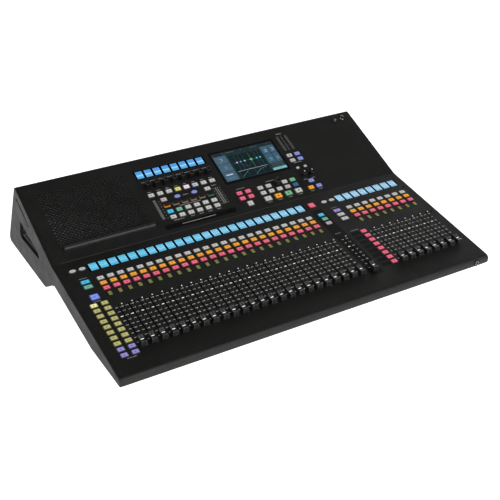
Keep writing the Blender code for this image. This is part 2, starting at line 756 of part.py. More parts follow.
def build():
    clear_scene()
    parts = collection("mixing_console")
    cutters = collection("cutters")
    crease = (0, CREASE_Y, CREASE_Z)
    fader_frame = add_frame("fader_frame", parts, crease, (FADER_TILT, 0, 0))
    screen_frame = add_frame("screen_frame", parts, crease, (SCREEN_TILT, 0, 0))
    rear_y, rear_z = on_rear(rear_length() / 2)
    rear_tilt = math.asin((rear_z - BASE_Z) * 2 / rear_length())
    rear_frame = add_frame("rear_frame", parts, (0, rear_y, rear_z), (rear_tilt, 0, math.pi))
    paint = material("black_paint", BLACK_PAINT)
    add_base_pan(parts, cutters, material("pan_paint", BLACK_PAINT))
    add_cheek("left_cheek", -1, parts, cutters, paint)
    add_cheek("right_cheek", 1, parts, cutters, paint)
    add_rear_panel(parts, rear_frame, paint)
    add_fader_panel(parts, cutters, fader_frame, paint)
    add_screen_panel(parts, cutters, screen_frame, paint)
    add_ledge(parts, screen_frame, paint)
    add_screen(parts, screen_frame)
    add_key_mats(parts, cutters, fader_frame, screen_frame)
    add_knobs(parts, screen_frame)
    add_faders(parts, fader_frame)
    add_electronics(parts)


build()
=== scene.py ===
"""The looks of a 33-fader digital mixing console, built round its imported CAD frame.

Everything is in metres. Working planes come from the frame: the fader panel, the screen panel,
the rear panel and the front lip. In each, X and Y lie in the plane and Z points outwards.
Columns are counted in fader pitches from channel 1. Rows are counted from the crease where the
two upper panels meet, so they are negative on the fader panel and positive on the screen panel.
"""

import json
import math
import random

import bmesh
import bpy
from mathutils import Matrix, Vector


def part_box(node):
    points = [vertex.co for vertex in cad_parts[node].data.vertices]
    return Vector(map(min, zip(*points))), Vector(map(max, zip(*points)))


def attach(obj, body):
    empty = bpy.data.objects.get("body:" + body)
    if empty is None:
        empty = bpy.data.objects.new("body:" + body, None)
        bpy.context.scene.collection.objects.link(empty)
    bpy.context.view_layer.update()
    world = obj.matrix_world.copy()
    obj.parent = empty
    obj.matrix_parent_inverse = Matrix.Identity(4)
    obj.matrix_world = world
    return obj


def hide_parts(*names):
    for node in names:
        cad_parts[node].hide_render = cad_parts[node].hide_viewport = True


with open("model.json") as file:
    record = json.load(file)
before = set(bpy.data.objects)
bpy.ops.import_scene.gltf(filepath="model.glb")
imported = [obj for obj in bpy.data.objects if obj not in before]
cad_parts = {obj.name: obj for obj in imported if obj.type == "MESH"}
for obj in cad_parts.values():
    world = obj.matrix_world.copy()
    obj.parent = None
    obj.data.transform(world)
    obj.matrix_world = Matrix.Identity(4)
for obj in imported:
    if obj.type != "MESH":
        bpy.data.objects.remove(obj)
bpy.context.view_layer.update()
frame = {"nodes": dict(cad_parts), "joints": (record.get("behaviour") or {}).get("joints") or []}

# Keys: width and depth
KEY = (0.0142, 0.0104)
WIDE_KEY = (0.0182, 0.0104)
LAYER_KEY = (0.0182, 0.0164)
SQUARE_KEY = (0.0155, 0.016)
OVAL_KEY = (0.0148, 0.0094)
BIG_KEY = (0.0178, 0.0136)
TALL_KEY = (0.0142, 0.0136)
SMALL_KEY = (0.0075, 0.0062)
KEY_CORNER = 0.0024
KEY_TOP = 0.0015
FIT = 0.00035  # clearance round a key

# Panels and what is let into them
SHEET = 0.002
GAP = 0.0003
FILM = 0.00015
INK = 0.00005  # how far print stands off its surface
DISPLAY_TILE = (0.0156, 0.0214)
WINDOW_DEPTH = 0.025
SLOT_WIDTH = 0.0026
SLOT_OVERRUN = 0.0085
FADER_TRAVEL = frame["joints"][0]["range_m"][1]
HOLE_PITCH = 0.0096  # of the perforated vent
HOLE_RADIUS = 0.0019
LET_IN = (-0.0005, 0.0004, 0.0008, 0.0002)  # a small window: bottom, top, corner, rolled edge
LIGHT = (0.0003, 0.00048)  # bottom and top of a meter's light
PICTURE = 0.0003  # height of the touchscreen's picture

# Rows, from the crease
DISPLAY_ROW = -0.0319
SELECT_ROW = -0.07
SOLO_ROW = -0.0852
MUTE_ROW = -0.1006
METER_ROW = -0.1172
LAYER_ROW = -0.1166
GRID_ROW = -0.1388
GRID_STEP = 0.01555
ENCODER_ROW = 0.1312
PARAMETER_ROW = 0.1698
KEY_ROW = 0.108
LINK_ROW = 0.0895
BLOCK_ROWS = (0.0737, 0.0554, 0.0402)
TRANSPORT_ROW = 0.0226
METER_KEY_ROWS = (0.1235, 0.1077)
SOCKET_KEY_ROW = 0.0834
LEVEL_ROW = 0.057

# Columns, in pitches
CHANNELS = 24
BANK_FADERS = 8
FAT_COLUMN = 9.04
VALUE_COLUMN = 22.58
GRID_COLUMNS = (-2.0, -0.97)
GRID_MIDDLE = -1.49
RIGHT_KEY_COLUMN = 26.5
MUTE_GROUP_COLUMN = 27.05

# Lit colours as they show, in sRGB
COLOURS = {
    "white": (192, 193, 190), "amber": (242, 166, 56), "red": (236, 106, 132),
    "cyan": (74, 192, 234), "teal": (112, 178, 152), "blue": (124, 146, 238),
    "yellow": (184, 180, 116), "bright_yellow": (242, 240, 172), "lemon": (222, 218, 118),
    "violet": (148, 140, 204), "periwinkle": (136, 150, 218), "lilac": (250, 226, 248),
    "ice": (186, 194, 212), "rose": (190, 172, 174), "deep_blue": (54, 104, 152),
    "green": (112, 176, 138),
}
HALF_LIT = {"half_amber": (206, 124, 40), "half_white": (128, 111, 97), "half_green": (62, 108, 76)}
PICTURE_COLOURS = {
    "ground": (30, 56, 54), "bar": (34, 47, 53), "left": (72, 99, 120), "white": (196, 204, 206),
    "right": (66, 96, 119), "band": (128, 185, 193), "cyan": (96, 200, 226),
    "green": (104, 200, 112), "grid": (84, 118, 128), "deep": (20, 36, 40),
    "lilac": (206, 196, 226), "tick": (112, 132, 138),
}


# Places


def middle(node):
    low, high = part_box(node)
    return (low + high) / 2


def pivot(node):
    """The centre and the axis of the joint that moves a node."""
    joint = next(j for j in frame["joints"] if j["child"] == node)
    return Vector(joint["pos_m"]), Vector(joint["axis"])


FIRST_X = middle("fader_cap_01").x
PITCH = (middle("fader_cap_24").x - FIRST_X) / (CHANNELS - 1)
MASTER_COLUMN = (middle("fader_cap_master").x - FIRST_X) / PITCH
BANK_COLUMN = (middle("fader_cap_25").x - FIRST_X) / PITCH
LEVEL_KNOBS = ("phones_level_knob", "monitor_level_knob")
LEVEL_COLUMNS = [(middle(name).x - FIRST_X) / PITCH for name in LEVEL_KNOBS]


def column(steps):
    """The X of a column, given in pitches from channel 1."""
    return FIRST_X + steps * PITCH


def face_plane(node, looking):
    """A point and the normal of the largest face of a CAD node that looks a given way."""
    way = Vector(looking)
    faces = [f for f in frame["nodes"][node].data.polygons if f.normal.dot(way) > 0.7]
    largest = max(faces, key=lambda f: f.area)
    return largest.center.copy(), largest.normal.copy()


def meet(first, second):
    """The (y, z) where two faces, extended, cross in side view."""
    (p, n), (q, m) = first, second
    a = n.y * p.y + n.z * p.z
    b = m.y * q.y + m.z * q.z
    turn = n.y * m.z - n.z * m.y
    return Vector(((a * m.z - b * n.z) / turn, (n.y * b - m.y * a) / turn))


def plane_matrix(origin, normal, across=(1, 0, 0)):
    """A frame whose X runs across the console and whose Z is the face's normal."""
    x = Vector(across)
    turn = Matrix((x, normal.cross(x), normal)).transposed().to_4x4()
    return Matrix.Translation(origin) @ turn


FADER_FACE = face_plane("fader_panel", (0, 0, 1))
SCREEN_FACE = face_plane("screen_panel", (0, 0, 1))
LIP_FACE = face_plane("fader_panel", (0, -1, 0))
FOLD_FACE = face_plane("screen_panel", (0, 1, 0))
REAR_FACE = face_plane("rear_panel", (0, 1, 0))
CREASE = meet(FADER_FACE, SCREEN_FACE)
NOSE = meet(FADER_FACE, LIP_FACE)
REAR_CORNER = meet(SCREEN_FACE, FOLD_FACE)
FADER_PLANE = plane_matrix((0, *CREASE), FADER_FACE[1])
SCREEN_PLANE = plane_matrix((0, *CREASE), SCREEN_FACE[1])
LIP_PLANE = plane_matrix((0, *NOSE), LIP_FACE[1])
REAR_MIDDLE = middle("rear_panel")
REAR_MIDDLE -= REAR_FACE[1] * (REAR_MIDDLE - REAR_FACE[0]).dot(REAR_FACE[1])
REAR_PLANE = plane_matrix(REAR_MIDDLE, REAR_FACE[1], (-1, 0, 0))
CAP_REST = (FADER_PLANE.inverted() @ middle("fader_cap_01")).y
SLOT_FRONT = CAP_REST - SLOT_OVERRUN
SLOT_REAR = CAP_REST + FADER_TRAVEL + SLOT_OVERRUN
SCREEN_SPOT = (SCREEN_PLANE.inverted() @ middle("touchscreen")).xy
SCREEN_OPENING = (0.166, 0.097)


def on_plane(plane, along, above=0.0):
    """World (y, z) of a point of a plane: its row and its height."""
    point = plane @ Vector((0, along, above))
    return point.y, point.z


# Outlines: lists of (x, y) points, counter-clockwise


def rectangle(x, y, size):
    w, h = size[0] / 2, size[1] / 2
    return [(x - w, y - h), (x + w, y - h), (x + w, y + h), (x - w, y + h)]


def round_points(count, first=0.0, x=0.0, y=0.0, radius=1.0):
    """Evenly spaced points on a circle, from an angle in degrees."""
    angles = [math.radians(first + 360 * n / count) for n in range(count)]
    return [(x + radius * math.cos(a), y + radius * math.sin(a)) for a in angles]


def oval(x, y, size, points=24):
    return [(x + size[0] / 2 * a, y + size[1] / 2 * b) for a, b in round_points(points)]


def rounded(corners, steps=5):
    """A closed outline from (x, y, radius) corners, with an arc at each that has a radius."""
    points = []
    for i, (x, y, radius) in enumerate(corners):
        corner = Vector((x, y))
        if radius == 0:
            points.append((x, y))
            continue
        before = (Vector(corners[i - 1][:2]) - corner).normalized()
        after = (Vector(corners[(i + 1) % len(corners)][:2]) - corner).normalized()
        half = before.angle(after) / 2
        centre = corner + (before + after).normalized() * radius / math.sin(half)
        start = corner + before * radius / math.tan(half) - centre
        sweep = start.angle_signed(corner + after * radius / math.tan(half) - centre)
        for k in range(steps + 1):
            points.append(tuple(centre + Matrix.Rotation(-sweep * k / steps, 2) @ start))
    return points


def soft_rectangle(x, y, size, radius=KEY_CORNER, steps=4):
    radius = min(radius, 0.49 * size[0], 0.49 * size[1])
    return rounded([(px, py, radius) for px, py in rectangle(x, y, size)], steps)


def block(left, right, front, rear, radius=0.0008):
    """A soft rectangle between two columns, in pitches, and two rows."""
    x0, x1 = column(left), column(right)
    return soft_rectangle((x0 + x1) / 2, (front + rear) / 2, (x1 - x0, rear - front), radius, 3)


def strip(path, thickness):
    """The closed outline of a sheet that follows a path, thickened to the path's left."""
    inner = []
    for i, point in enumerate(path):
        ways = [
            (Vector(path[b]) - Vector(path[a])).normalized()
            for a, b in ((i - 1, i), (i, i + 1))
            if a >= 0 and b < len(path)
        ]
        sides = [Vector((-way.y, way.x)) for way in ways]
        lean = (sides[0] + sides[-1]) / (1 + sides[0].dot(sides[-1]))
        inner.append(tuple(Vector(point) + lean * thickness))
    return list(path) + inner[::-1]


def stroke(path, width):
    """The closed outline of a line drawn along a path."""
    count = len(path)
    return strip(path, -width / 2)[count:][::-1] + strip(path, width / 2)[count:]


def grown(outline, by):
    """A counter-clockwise outline, moved outwards all round by a distance."""
    moved = []
    for i, point in enumerate(outline):
        before = (Vector(point) - Vector(outline[i - 1])).normalized()
        after = (Vector(outline[(i + 1) % len(outline)]) - Vector(point)).normalized()
        sides = [Vector((way.y, -way.x)) for way in (before, after)]
        lean = (sides[0] + sides[1]) / max(0.3, 1 + sides[0].dot(sides[1]))
        moved.append(tuple(Vector(point) + lean * by))
    return moved


def level(outline, z):
    return [(x, y, z) for x, y in outline]


# Meshes


def skin(edit, loops, look=0):
    """Joins neighbouring loops of vertices with quads."""
    faces = []
    for below, above in zip(loops, loops[1:]):
        for i in range(len(below)):
            k = (i + 1) % len(below)
            faces.append(edit.faces.new((below[i], below[k], above[k], above[i])))
            faces[-1].material_index = look
    return faces


def loft(edit, rings, look=0):
    """Skins a stack of rings of points, lowest first, and closes both ends."""
    loops = [[edit.verts.new(point) for point in ring] for ring in rings]
    ends = [edit.faces.new(loops[0][::-1]), edit.faces.new(loops[-1])]
    for face in ends:
        face.material_index = look
    return ends + skin(edit, loops, look)


def prism(edit, outline, low, high, look=0):
    return loft(edit, [level(outline, low), level(outline, high)], look)


def slab(edit, outline_of, low, high, edge, look=0, crown=()):
    """A prism whose upper edge is rolled: outline_of(grow) gives its outline, moved outwards."""
    rings = [(0, low), (0, high - edge)]
    for turn in (30, 60, 90):
        a = math.radians(turn)
        rings.append((edge * (math.cos(a) - 1), high - edge * (1 - math.sin(a))))
    return loft(edit, [level(outline_of(grow), z) for grow, z in [*rings, *crown]], look)


def soft_slab(edit, x, y, size, low, high, radius, edge, look=0):
    def outline_of(grow):
        return soft_rectangle(x, y, (size[0] + 2 * grow, size[1] + 2 * grow), radius + grow)

    return slab(edit, outline_of, low, high, edge, look)


def turn_rings(profile, points, at=(0, 0), teeth=0):
    """Rings from a profile of (radius, z) or (radius, z, depth of the teeth), lowest first."""
    rings = []
    for radius, z, *tooth in profile:
        depth = tooth[0] if tooth else 0.0
        waves = [0.5 - 0.5 * math.cos(2 * math.pi * teeth * i / points) for i in range(points)]
        rings.append([
            (at[0] + (radius - depth * wave) * a, at[1] + (radius - depth * wave) * b, z)
            for wave, (a, b) in zip(waves, round_points(points))
        ])
    return rings


def turned(edit, profile, points=32, at=(0, 0), look=0):
    loft(edit, turn_rings(profile, points, at), look)


def collar(edit, x, y, outer, inner, low, high, look=0, edge=0.0004):
    """A raised collar round a hole."""
    profile = (
        (inner, low), (outer, low), (outer, high - edge), (outer - edge, high),
        (inner + edge, high), (inner, high - edge),
    )
    loops = [[edit.verts.new(p) for p in ring] for ring in turn_rings(profile, 32, (x, y))]
    skin(edit, loops + loops[:1], look)


def cup(edit, x, y, radius, low, high, look):
    """A dark disc in a hole, in the look it is given; in near black it is painted shade for the
    hole's depth.
    """
    turned(edit, ((radius, low), (radius, high)), 32, (x, y), look)


def facing_out(edit):
    bmesh.ops.recalc_face_normals(edit, faces=edit.faces)


def across(edit, sections):
    """Skins (x, outline of (y, z) points) sections into a closed body."""
    loft(edit, [[(x, y, z) for y, z in outline] for x, outline in sections])
    facing_out(edit)


def made(name, edit):
    mesh = bpy.data.meshes.new(name)
    edit.to_mesh(mesh)
    edit.free()
    return mesh


def shown(name, data):
    """A new object in the scene."""
    obj = bpy.data.objects.new(name, data)
    bpy.context.scene.collection.objects.link(obj)
    return obj


def evaluated_mesh(obj):
    graph = bpy.context.evaluated_depsgraph_get()
    return bpy.data.meshes.new_from_object(obj.evaluated_get(graph))


def curve_mesh(curve):
    holder = shown("curve", curve)
    mesh = evaluated_mesh(holder)
    bpy.data.objects.remove(holder)
    return mesh


def plate(outlines, low, high):
    """Flat outlines, and the holes inside them, made solid from Z low to high."""
    curve = bpy.data.curves.new("plate", "CURVE")
    curve.dimensions = "2D"
    curve.fill_mode = "BOTH"
    curve.extrude = (high - low) / 2
    for outline in outlines:
        spline = curve.splines.new("POLY")
        spline.points.add(len(outline) - 1)
        for point, (x, y) in zip(spline.points, outline):
            point.co = (x, y, 0, 1)
        spline.use_cyclic_u = True
    edit = bmesh.new()
    edit.from_mesh(curve_mesh(curve))
    bmesh.ops.remove_doubles(edit, verts=edit.verts, dist=1e-6)
    bmesh.ops.translate(edit, verts=edit.verts, vec=(0, 0, (high + low) / 2))
    facing_out(edit)
    return edit


def smooth(obj, sharp=34):
    obj.data.shade_smooth()
    obj.data.set_sharp_from_angle(angle=math.radians(sharp))
    even = obj.modifiers.new("even_normals", "WEIGHTED_NORMAL")
    even.keep_sharp = True


def cut(obj, outlines, place, low=-0.006, high=0.006):
    """Cuts prisms on outlines, in a plane, out of a piece."""
    edit = bmesh.new()
    for outline in outlines:
        prism(edit, outline, low, high)
    cutter = shown("cutter", made("cutter", edit))
    cutter.matrix_world = place
    boolean = obj.modifiers.new("cut", "BOOLEAN")
    boolean.operation = "DIFFERENCE"
    boolean.solver = "MANIFOLD"  # EXACT takes minutes on a thousand holes
    boolean.object = cutter
    bpy.context.view_layer.update()
    mesh = evaluated_mesh(obj)
    for i in reversed(range(len(mesh.materials))):
        if mesh.materials[i] is None:
            mesh.materials.pop(index=i)
    obj.modifiers.clear()
    obj.data = mesh
    bpy.data.objects.remove(cutter)


def piece(name, edit, looks, place=None, slot=None, body="console", instead_of=(), sharp=34):
    """A finished piece on its CAD body, shaded smooth between edges sharper than an angle."""
    mesh = edit if isinstance(edit, bpy.types.Mesh) else made(name, edit)
    obj = shown(name, mesh)
    if place is not None:
        obj.matrix_world = place
    for look in looks if isinstance(looks, (list, tuple)) else [looks]:
        mesh.materials.append(look)
    smooth(obj, sharp)
    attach(obj, body)
    if instead_of:
        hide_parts(*instead_of)
    return obj


def drawn(looks, place=None, slot=None, **more):
    """Decorates a function that draws on an empty mesh: makes the piece that bears its name."""

    def finish(draw):
        edit = bmesh.new()
        draw(edit)
        return piece(draw.__name__, edit, looks, place, slot, **more)

    return finish


# Materials


def grey(tone):
    return (tone, tone, tone, 1.0)


def scaled(colour, share):
    return tuple(share * c for c in colour)


def linear(colour):
    """An sRGB colour, each channel 0 to 255, as the linear RGBA that the nodes take."""
    shares = scaled(colour, 1 / 255)
    return (*[s / 12.92 if s < 0.04045 else ((s + 0.055) / 1.055) ** 2.4 for s in shares], 1.0)


class Nodes:
    """A node tree under construction. Most methods add nodes and return a socket."""

    def __init__(self, tree):
        self.tree = tree

    def node(self, kind, inputs=None, **settings):
        added = self.tree.nodes.new("ShaderNode" + kind)
        for key, value in settings.items():
            setattr(added, key, value)
        for key, value in (inputs or {}).items():
            self.feed(added.inputs[key], value)
        return added

    def feed(self, socket, value):
        if isinstance(value, bpy.types.NodeSocket):
            self.tree.links.new(value, socket)
        else:
            socket.default_value = value

    def spread(self, value, start, end, low, high):
        """A value's stretch from start to end, mapped to low to high."""
        span = {"Value": value, "From Min": start, "From Max": end, "To Min": low, "To Max": high}
        return self.node("MapRange", span).outputs["Result"]

    def sum(self, operation, a, b):
        return self.node("Math", {0: a, 1: b}, operation=operation).outputs[0]

    def dot(self, a, b):
        return self.node("VectorMath", {0: a, 1: b}, operation="DOT_PRODUCT").outputs["Value"]

    def seen(self):
        return self.node("LightPath").outputs["Is Camera Ray"]


class Look(Nodes):
    """A node material under construction."""

    def __init__(self, name):
        self.material = bpy.data.materials.new(name)
        self.material.use_nodes = True
        super().__init__(self.material.node_tree)
        self.shader = self.tree.nodes["Principled BSDF"]
        self.place = self.node("TexCoord").outputs["Object"]

    def noise(self, scale, low=0.0, high=1.0, detail=3.0, place=None):
        """Noise whose grains are about one over scale metres."""
        inputs = {"Vector": place or self.place, "Scale": scale, "Detail": detail}
        grains = self.node("TexNoise", inputs).outputs["Fac"]
        return self.spread(grains, 0.32, 0.68, low, high)

    def mix(self, share, first, second):
        return self.node("Mix", {0: share, 6: first, 7: second}, data_type="RGBA").outputs[2]

    def bump(self, height, depth, below=None):
        inputs = {"Height": height, "Distance": depth, "Strength": 1.0}
        if below:
            inputs["Normal"] = below
        return self.node("Bump", inputs).outputs["Normal"]

    def face(self):
        """Across and along a key or a tile, each from -1 to 1."""
        uv = self.node("UVMap", uv_map="face").outputs["UV"]
        return self.node("SeparateXYZ", {"Vector": uv}).outputs

    def worn_and_highlit_edges(self, radius, amount):
        """About 1 on convex edges and 0 on flats, broken up by noise."""
        eased = self.node("Bevel", {"Radius": radius}, samples=4).outputs["Normal"]
        flat = self.node("NewGeometry").outputs["Normal"]
        edge = self.spread(self.dot(eased, flat), 0.995, 0.88, 0.0, 1.0)
        return self.sum("MULTIPLY", edge, self.noise(220, 0.0, amount))

    def set(self, **inputs):
        for key, value in inputs.items():
            self.feed(self.shader.inputs[key.replace("_", " ").title()], value)
        return self.material


def hard_surface(name, dark, light, roughness, grain, depth, metallic=0.0, edge_wear_and_highlight=None):
    """Paint, moulded plastic, rubber or plated metal, by its colours, grain and lighter edges.

    dark and light are linear greys or RGB between which the colour drifts. roughness is
    (least, most), grain is the bumps' scale, and edge_wear_and_highlight is (edge radius, amount,
    colour) of lighter convex edges: worn paint on the panels and the pan, a painted highlight on
    the fader caps and the knobs.
    """
    look = Look(name)
    ends = [(*c, 1.0) if isinstance(c, tuple) else grey(c) for c in (dark, light)]
    drift = look.sum("MULTIPLY", look.noise(14, 0.2, 1.0), look.noise(grain * 0.31, 0.4, 1.0))
    colour = look.mix(drift, *ends)
    rough = look.sum("ADD", look.noise(32.2, *roughness), look.noise(grain, -0.03, 0.03))
    # Lighter convex edges: worn paint on the panels, a painted highlight on the fader caps and the
    # knobs.
    if edge_wear_and_highlight:
        radius, amount, edge_tone = edge_wear_and_highlight
        edge = look.worn_and_highlit_edges(radius, amount)
        colour = look.mix(edge, colour, (edge_tone, edge_tone, edge_tone * 1.02, 1.0))
        rough = look.sum("SUBTRACT", rough, look.sum("MULTIPLY", edge, 0.12))
    coarse = look.bump(look.noise(grain * 0.37, detail=2.0), depth * 1.5)
    normal = look.bump(look.noise(grain, detail=2.0), depth, coarse)
    return look.set(base_color=colour, roughness=rough, metallic=metallic, normal=normal)


def brushed_metal(name, dark, light, roughness=(0.22, 0.40)):
    """Plated or turned metal with fine lines along one way."""
    look = Look(name)
    along = look.node("Mapping", {"Vector": look.place, "Scale": (40, 1, 1)}).outputs["Vector"]
    lines = look.noise(300, place=along)
    return look.set(
        base_color=look.mix(lines, grey(dark), grey(light)),
        roughness=look.noise(90, *roughness),
        metallic=1.0,
        normal=look.bump(lines, 0.00002),
    )


def dark_glass(name, tint, smudge=(0.05, 0.16)):
    """Black glass, with finger marks in its roughness."""
    look = Look(name)
    marks = look.sum("MULTIPLY", look.noise(55), look.noise(9))
    return look.set(
        base_color=look.mix(look.noise(30), (*scaled(tint, 0.8), 1.0), (*tint, 1.0)),
        roughness=look.spread(marks, 0.1, 0.8, *smudge),
        normal=look.bump(look.noise(25), 0.00003),
    )


def lit_key(name, colour, half=False):
    """Silicone lit from below over its whole face, or only along its front and its sides."""
    look = Look("silicone_" + name)
    full = linear(colour)
    face = look.face()
    x = look.sum("ABSOLUTE", face["X"], 0.0)
    y = look.sum("ABSOLUTE", face["Y"], 0.0)
    if half:
        front = look.spread(face["Y"], -0.76, -0.54, 0.8, 0.03)
        side = look.spread(x, 0.70, 0.92, 0.0, 0.4)
        side = look.sum("MULTIPLY", side, look.spread(face["Y"], 0.0, 0.6, 1.0, 0.1))
        glow = look.sum("MAXIMUM", front, side)
    else:
        glow = look.spread(look.sum("MAXIMUM", x, y), 0.70, 0.94, 0.92, 0.12)
    low, high = (0.01, 0.02) if half else (0.08, 0.12)
    bright = tuple(min(1.0, 1.12 * c) for c in full)
    return look.set(
        base_color=look.mix(look.noise(240), scaled(full, low), scaled(full, high)),
        roughness=look.noise(400, 0.48, 0.62),
        emission_color=look.mix(look.noise(110), full, bright),
        emission_strength=look.sum("MULTIPLY", glow, look.noise(70, 0.95, 1.05)),
        normal=look.bump(look.noise(1500, detail=2.0), 0.00003),
    )


def lit_display(name, stops, strength=1.0):
    """A small lit screen: colours along its depth, over a faint grid of pixels."""
    look = Look(name)
    ramp = look.node("ValToRGB")
    elements = ramp.color_ramp.elements
    elements.remove(elements[0])
    for i, (place, colour) in enumerate(stops):
        element = elements[0] if i == 0 else elements.new(place)
        element.position = place
        element.color = linear(colour)
    look.feed(ramp.inputs["Fac"], look.spread(look.face()["Y"], -1.0, 1.0, 0.0, 1.0))
    wave = {"Vector": look.place, "Scale": 900.0, "Distortion": 0.0}
    pixels = look.node("TexWave", wave, wave_type="BANDS", bands_direction="Y").outputs["Fac"]
    lines = look.spread(pixels, 0.0, 1.0, 0.93, 1.0)
    return look.set(
        base_color=(0.01, 0.012, 0.014, 1.0),
        roughness=look.noise(80, 0.10, 0.22),
        emission_color=ramp.outputs["Color"],
        emission_strength=look.sum(
            "MULTIPLY", look.noise(45, 0.95 * strength, 1.03 * strength), lines
        ),
    )


def lit_paint(name, colour, strength=0.9):
    """A plain lit mark on a screen, or a light behind a window."""
    look = Look(name)
    full = linear(colour)
    return look.set(
        base_color=scaled(full, 0.1),
        roughness=look.noise(300, 0.25, 0.45),
        emission_color=look.mix(look.noise(90), full, scaled(full, 0.86)),
        emission_strength=look.noise(35, 0.93 * strength, 1.05 * strength),
    )


def ink(name, colour, glow=0.0):
    """Screen print: slightly uneven and thin in places; its glow is painted light that makes it read
    bright under the table's lights.
    """
    look = Look(name)
    full = linear(colour)
    tone = look.mix(look.noise(900, detail=4.0), scaled(full, 0.75), full)
    return look.set(
        base_color=tone,
        roughness=look.noise(500, 0.5, 0.68),
        normal=look.bump(look.noise(2200, detail=2.0), 0.00001),
        emission_color=tone,
        emission_strength=glow,
    )


PAINT = hard_surface(
    "powder_coat", (0.01, 0.0098, 0.0091), (0.0138, 0.0135, 0.0126), (0.46, 0.58), 1500, 0.00005,
    edge_wear_and_highlight=(0.0009, 0.7, 0.05),
)
PAN_PAINT = hard_surface(
    "pan_coat", 0.0095, 0.013, (0.50, 0.62), 1100, 0.00006, edge_wear_and_highlight=(0.0008, 0.8, 0.06)
)
# Lighter paint for the crease bead and the tablet ledge: a painted highlight.
EDGE_HIGHLIGHT_PAINT = hard_surface("painted_edge_highlight", 0.022, 0.034, (0.32, 0.42), 1500, 0.00003)
# Hole walls in three lighter greys: painted highlights where the vent's holes catch the light.
HOLE_WALL_HIGHLIGHTS = [
    hard_surface(f"hole_wall_highlight_{n}", tone, tone * 1.3, (0.35, 0.5), 1500, 0.00003)
    for n, tone in enumerate((0.17, 0.095, 0.045))
]
# A lighter paint for the cheeks' recesses: painted light.
RECESS_LIGHT_PAINT = hard_surface("recess_painted_light", 0.11, 0.14, (0.46, 0.58), 1500, 0.00005)
OVERLAY = hard_surface("overlay_film", 0.006, 0.0078, (0.30, 0.42), 2600, 0.00001)
OVERLAY.node_tree.nodes["Principled BSDF"].inputs["Specular IOR Level"].default_value = 0.25
# Its lighter edges are a painted highlight.
CAP_PLASTIC = hard_surface(
    "cap_plastic", 0.005, 0.008, (0.30, 0.40), 2400, 0.00002, edge_wear_and_highlight=(0.0008, 1.2, 0.34)
)
# Its lighter top edges are a painted highlight.
KNOB_RUBBER = hard_surface(
    "knob_rubber", 0.0035, 0.0055, (0.36, 0.50), 1800, 0.00003, edge_wear_and_highlight=(0.0006, 1.0, 0.10)
)
# Lighter plastic for the caps' ridges: a painted highlight.
CAP_RIDGE_HIGHLIGHT = hard_surface("cap_ridge_highlight", 0.085, 0.13, (0.28, 0.38), 2400, 0.00002)
# A lighter ring round each knob's top: a painted highlight.
KNOB_RIM_HIGHLIGHT = hard_surface("knob_rim_highlight", 0.06, 0.095, (0.28, 0.38), 1800, 0.00002)
SOCKET_PLASTIC = hard_surface("socket_plastic", 0.011, 0.016, (0.38, 0.52), 1700, 0.00003)
FOOT_RUBBER = hard_surface("foot_rubber", 0.012, 0.02, (0.75, 0.9), 900, 0.00008)
# Near black: painted shade inside holes, slots and under edges, and the phones socket's dark collar.
BLACK_AND_SHADE = hard_surface("black_plastic_and_painted_shade", 0.0015, 0.0025, (0.8, 0.95), 700, 0.00002)
FELT = hard_surface("slot_felt", 0.0012, 0.002, (0.9, 1.0), 2500, 0.00008)
STEEL = brushed_metal("plated_steel", 0.38, 0.52)
NICKEL = brushed_metal("nickel", 0.55, 0.72, (0.16, 0.30))
SCREW_STEEL = hard_surface(
    "black_screw", 0.02, 0.034, (0.30, 0.42), 1500, 0.00002, 0.6, (0.0004, 0.9, 0.22)
)
GOLD = hard_surface(
    "gold_contact", (0.62, 0.42, 0.16), (0.78, 0.56, 0.24), (0.22, 0.34), 1200, 0.00001, 1.0
)
BOARD = hard_surface(
    "solder_mask", (0.008, 0.07, 0.03), (0.014, 0.11, 0.048), (0.35, 0.5), 800, 0.00003
)
GLASS = dark_glass("screen_glass", (0.0125, 0.013, 0.0135))
WINDOW = dark_glass("window_glass", (0.002, 0.004, 0.008), (0.08, 0.20))
LIT = {name: lit_key(name, colour) for name, colour in COLOURS.items()}
LIT |= {name: lit_key(name, colour, True) for name, colour in HALF_LIT.items()}
LEGEND = ink("key_legend", (44, 44, 48))
# The print's glow is painted light, brightening it as the table's lights do.
PRINT = ink("panel_print", (226, 226, 222), 0.32)
BRIGHT_PRINT = ink("bright_print", (244, 244, 240), 0.90)
FAINT_PRINT = ink("faint_print", (186, 186, 182), 0.15)
DISPLAY_TEXT = lit_paint("display_text", (84, 160, 204), 0.95)
SOCKET_LOOKS = (SCREW_STEEL, BLACK_AND_SHADE, GOLD, NICKEL)
REAR_LOOKS = (SCREW_STEEL, SOCKET_PLASTIC, BLACK_AND_SHADE, GOLD)


# Keys: lists of (column, row, size, colour)


def laid_out(*runs):
    """The keys of runs of (row, size, colour, *columns)."""
    return [(steps, row, size, colour) for row, size, colour, *columns in runs for steps in columns]


def count_up(first, count):
    return [first + n for n in range(count)]


def strip_runs(first, count):
    """The select, solo and mute keys over a run of faders."""
    rows = ((SELECT_ROW, "white"), (SOLO_ROW, "amber"), (MUTE_ROW, "red"))
    return [(row, KEY, colour, *count_up(first, count)) for row, colour in rows]


def grid_runs():
    """The two columns of ten at the far left: eight yellow rows over two violet ones."""
    first, second = GRID_COLUMNS
    runs = [(GRID_ROW, KEY, "bright_yellow", first), (GRID_ROW, KEY, "yellow", second)]
    for n in range(1, 10):
        runs.append((GRID_ROW - GRID_STEP * n, KEY, "yellow" if n < 8 else "violet", *GRID_COLUMNS))
    return runs


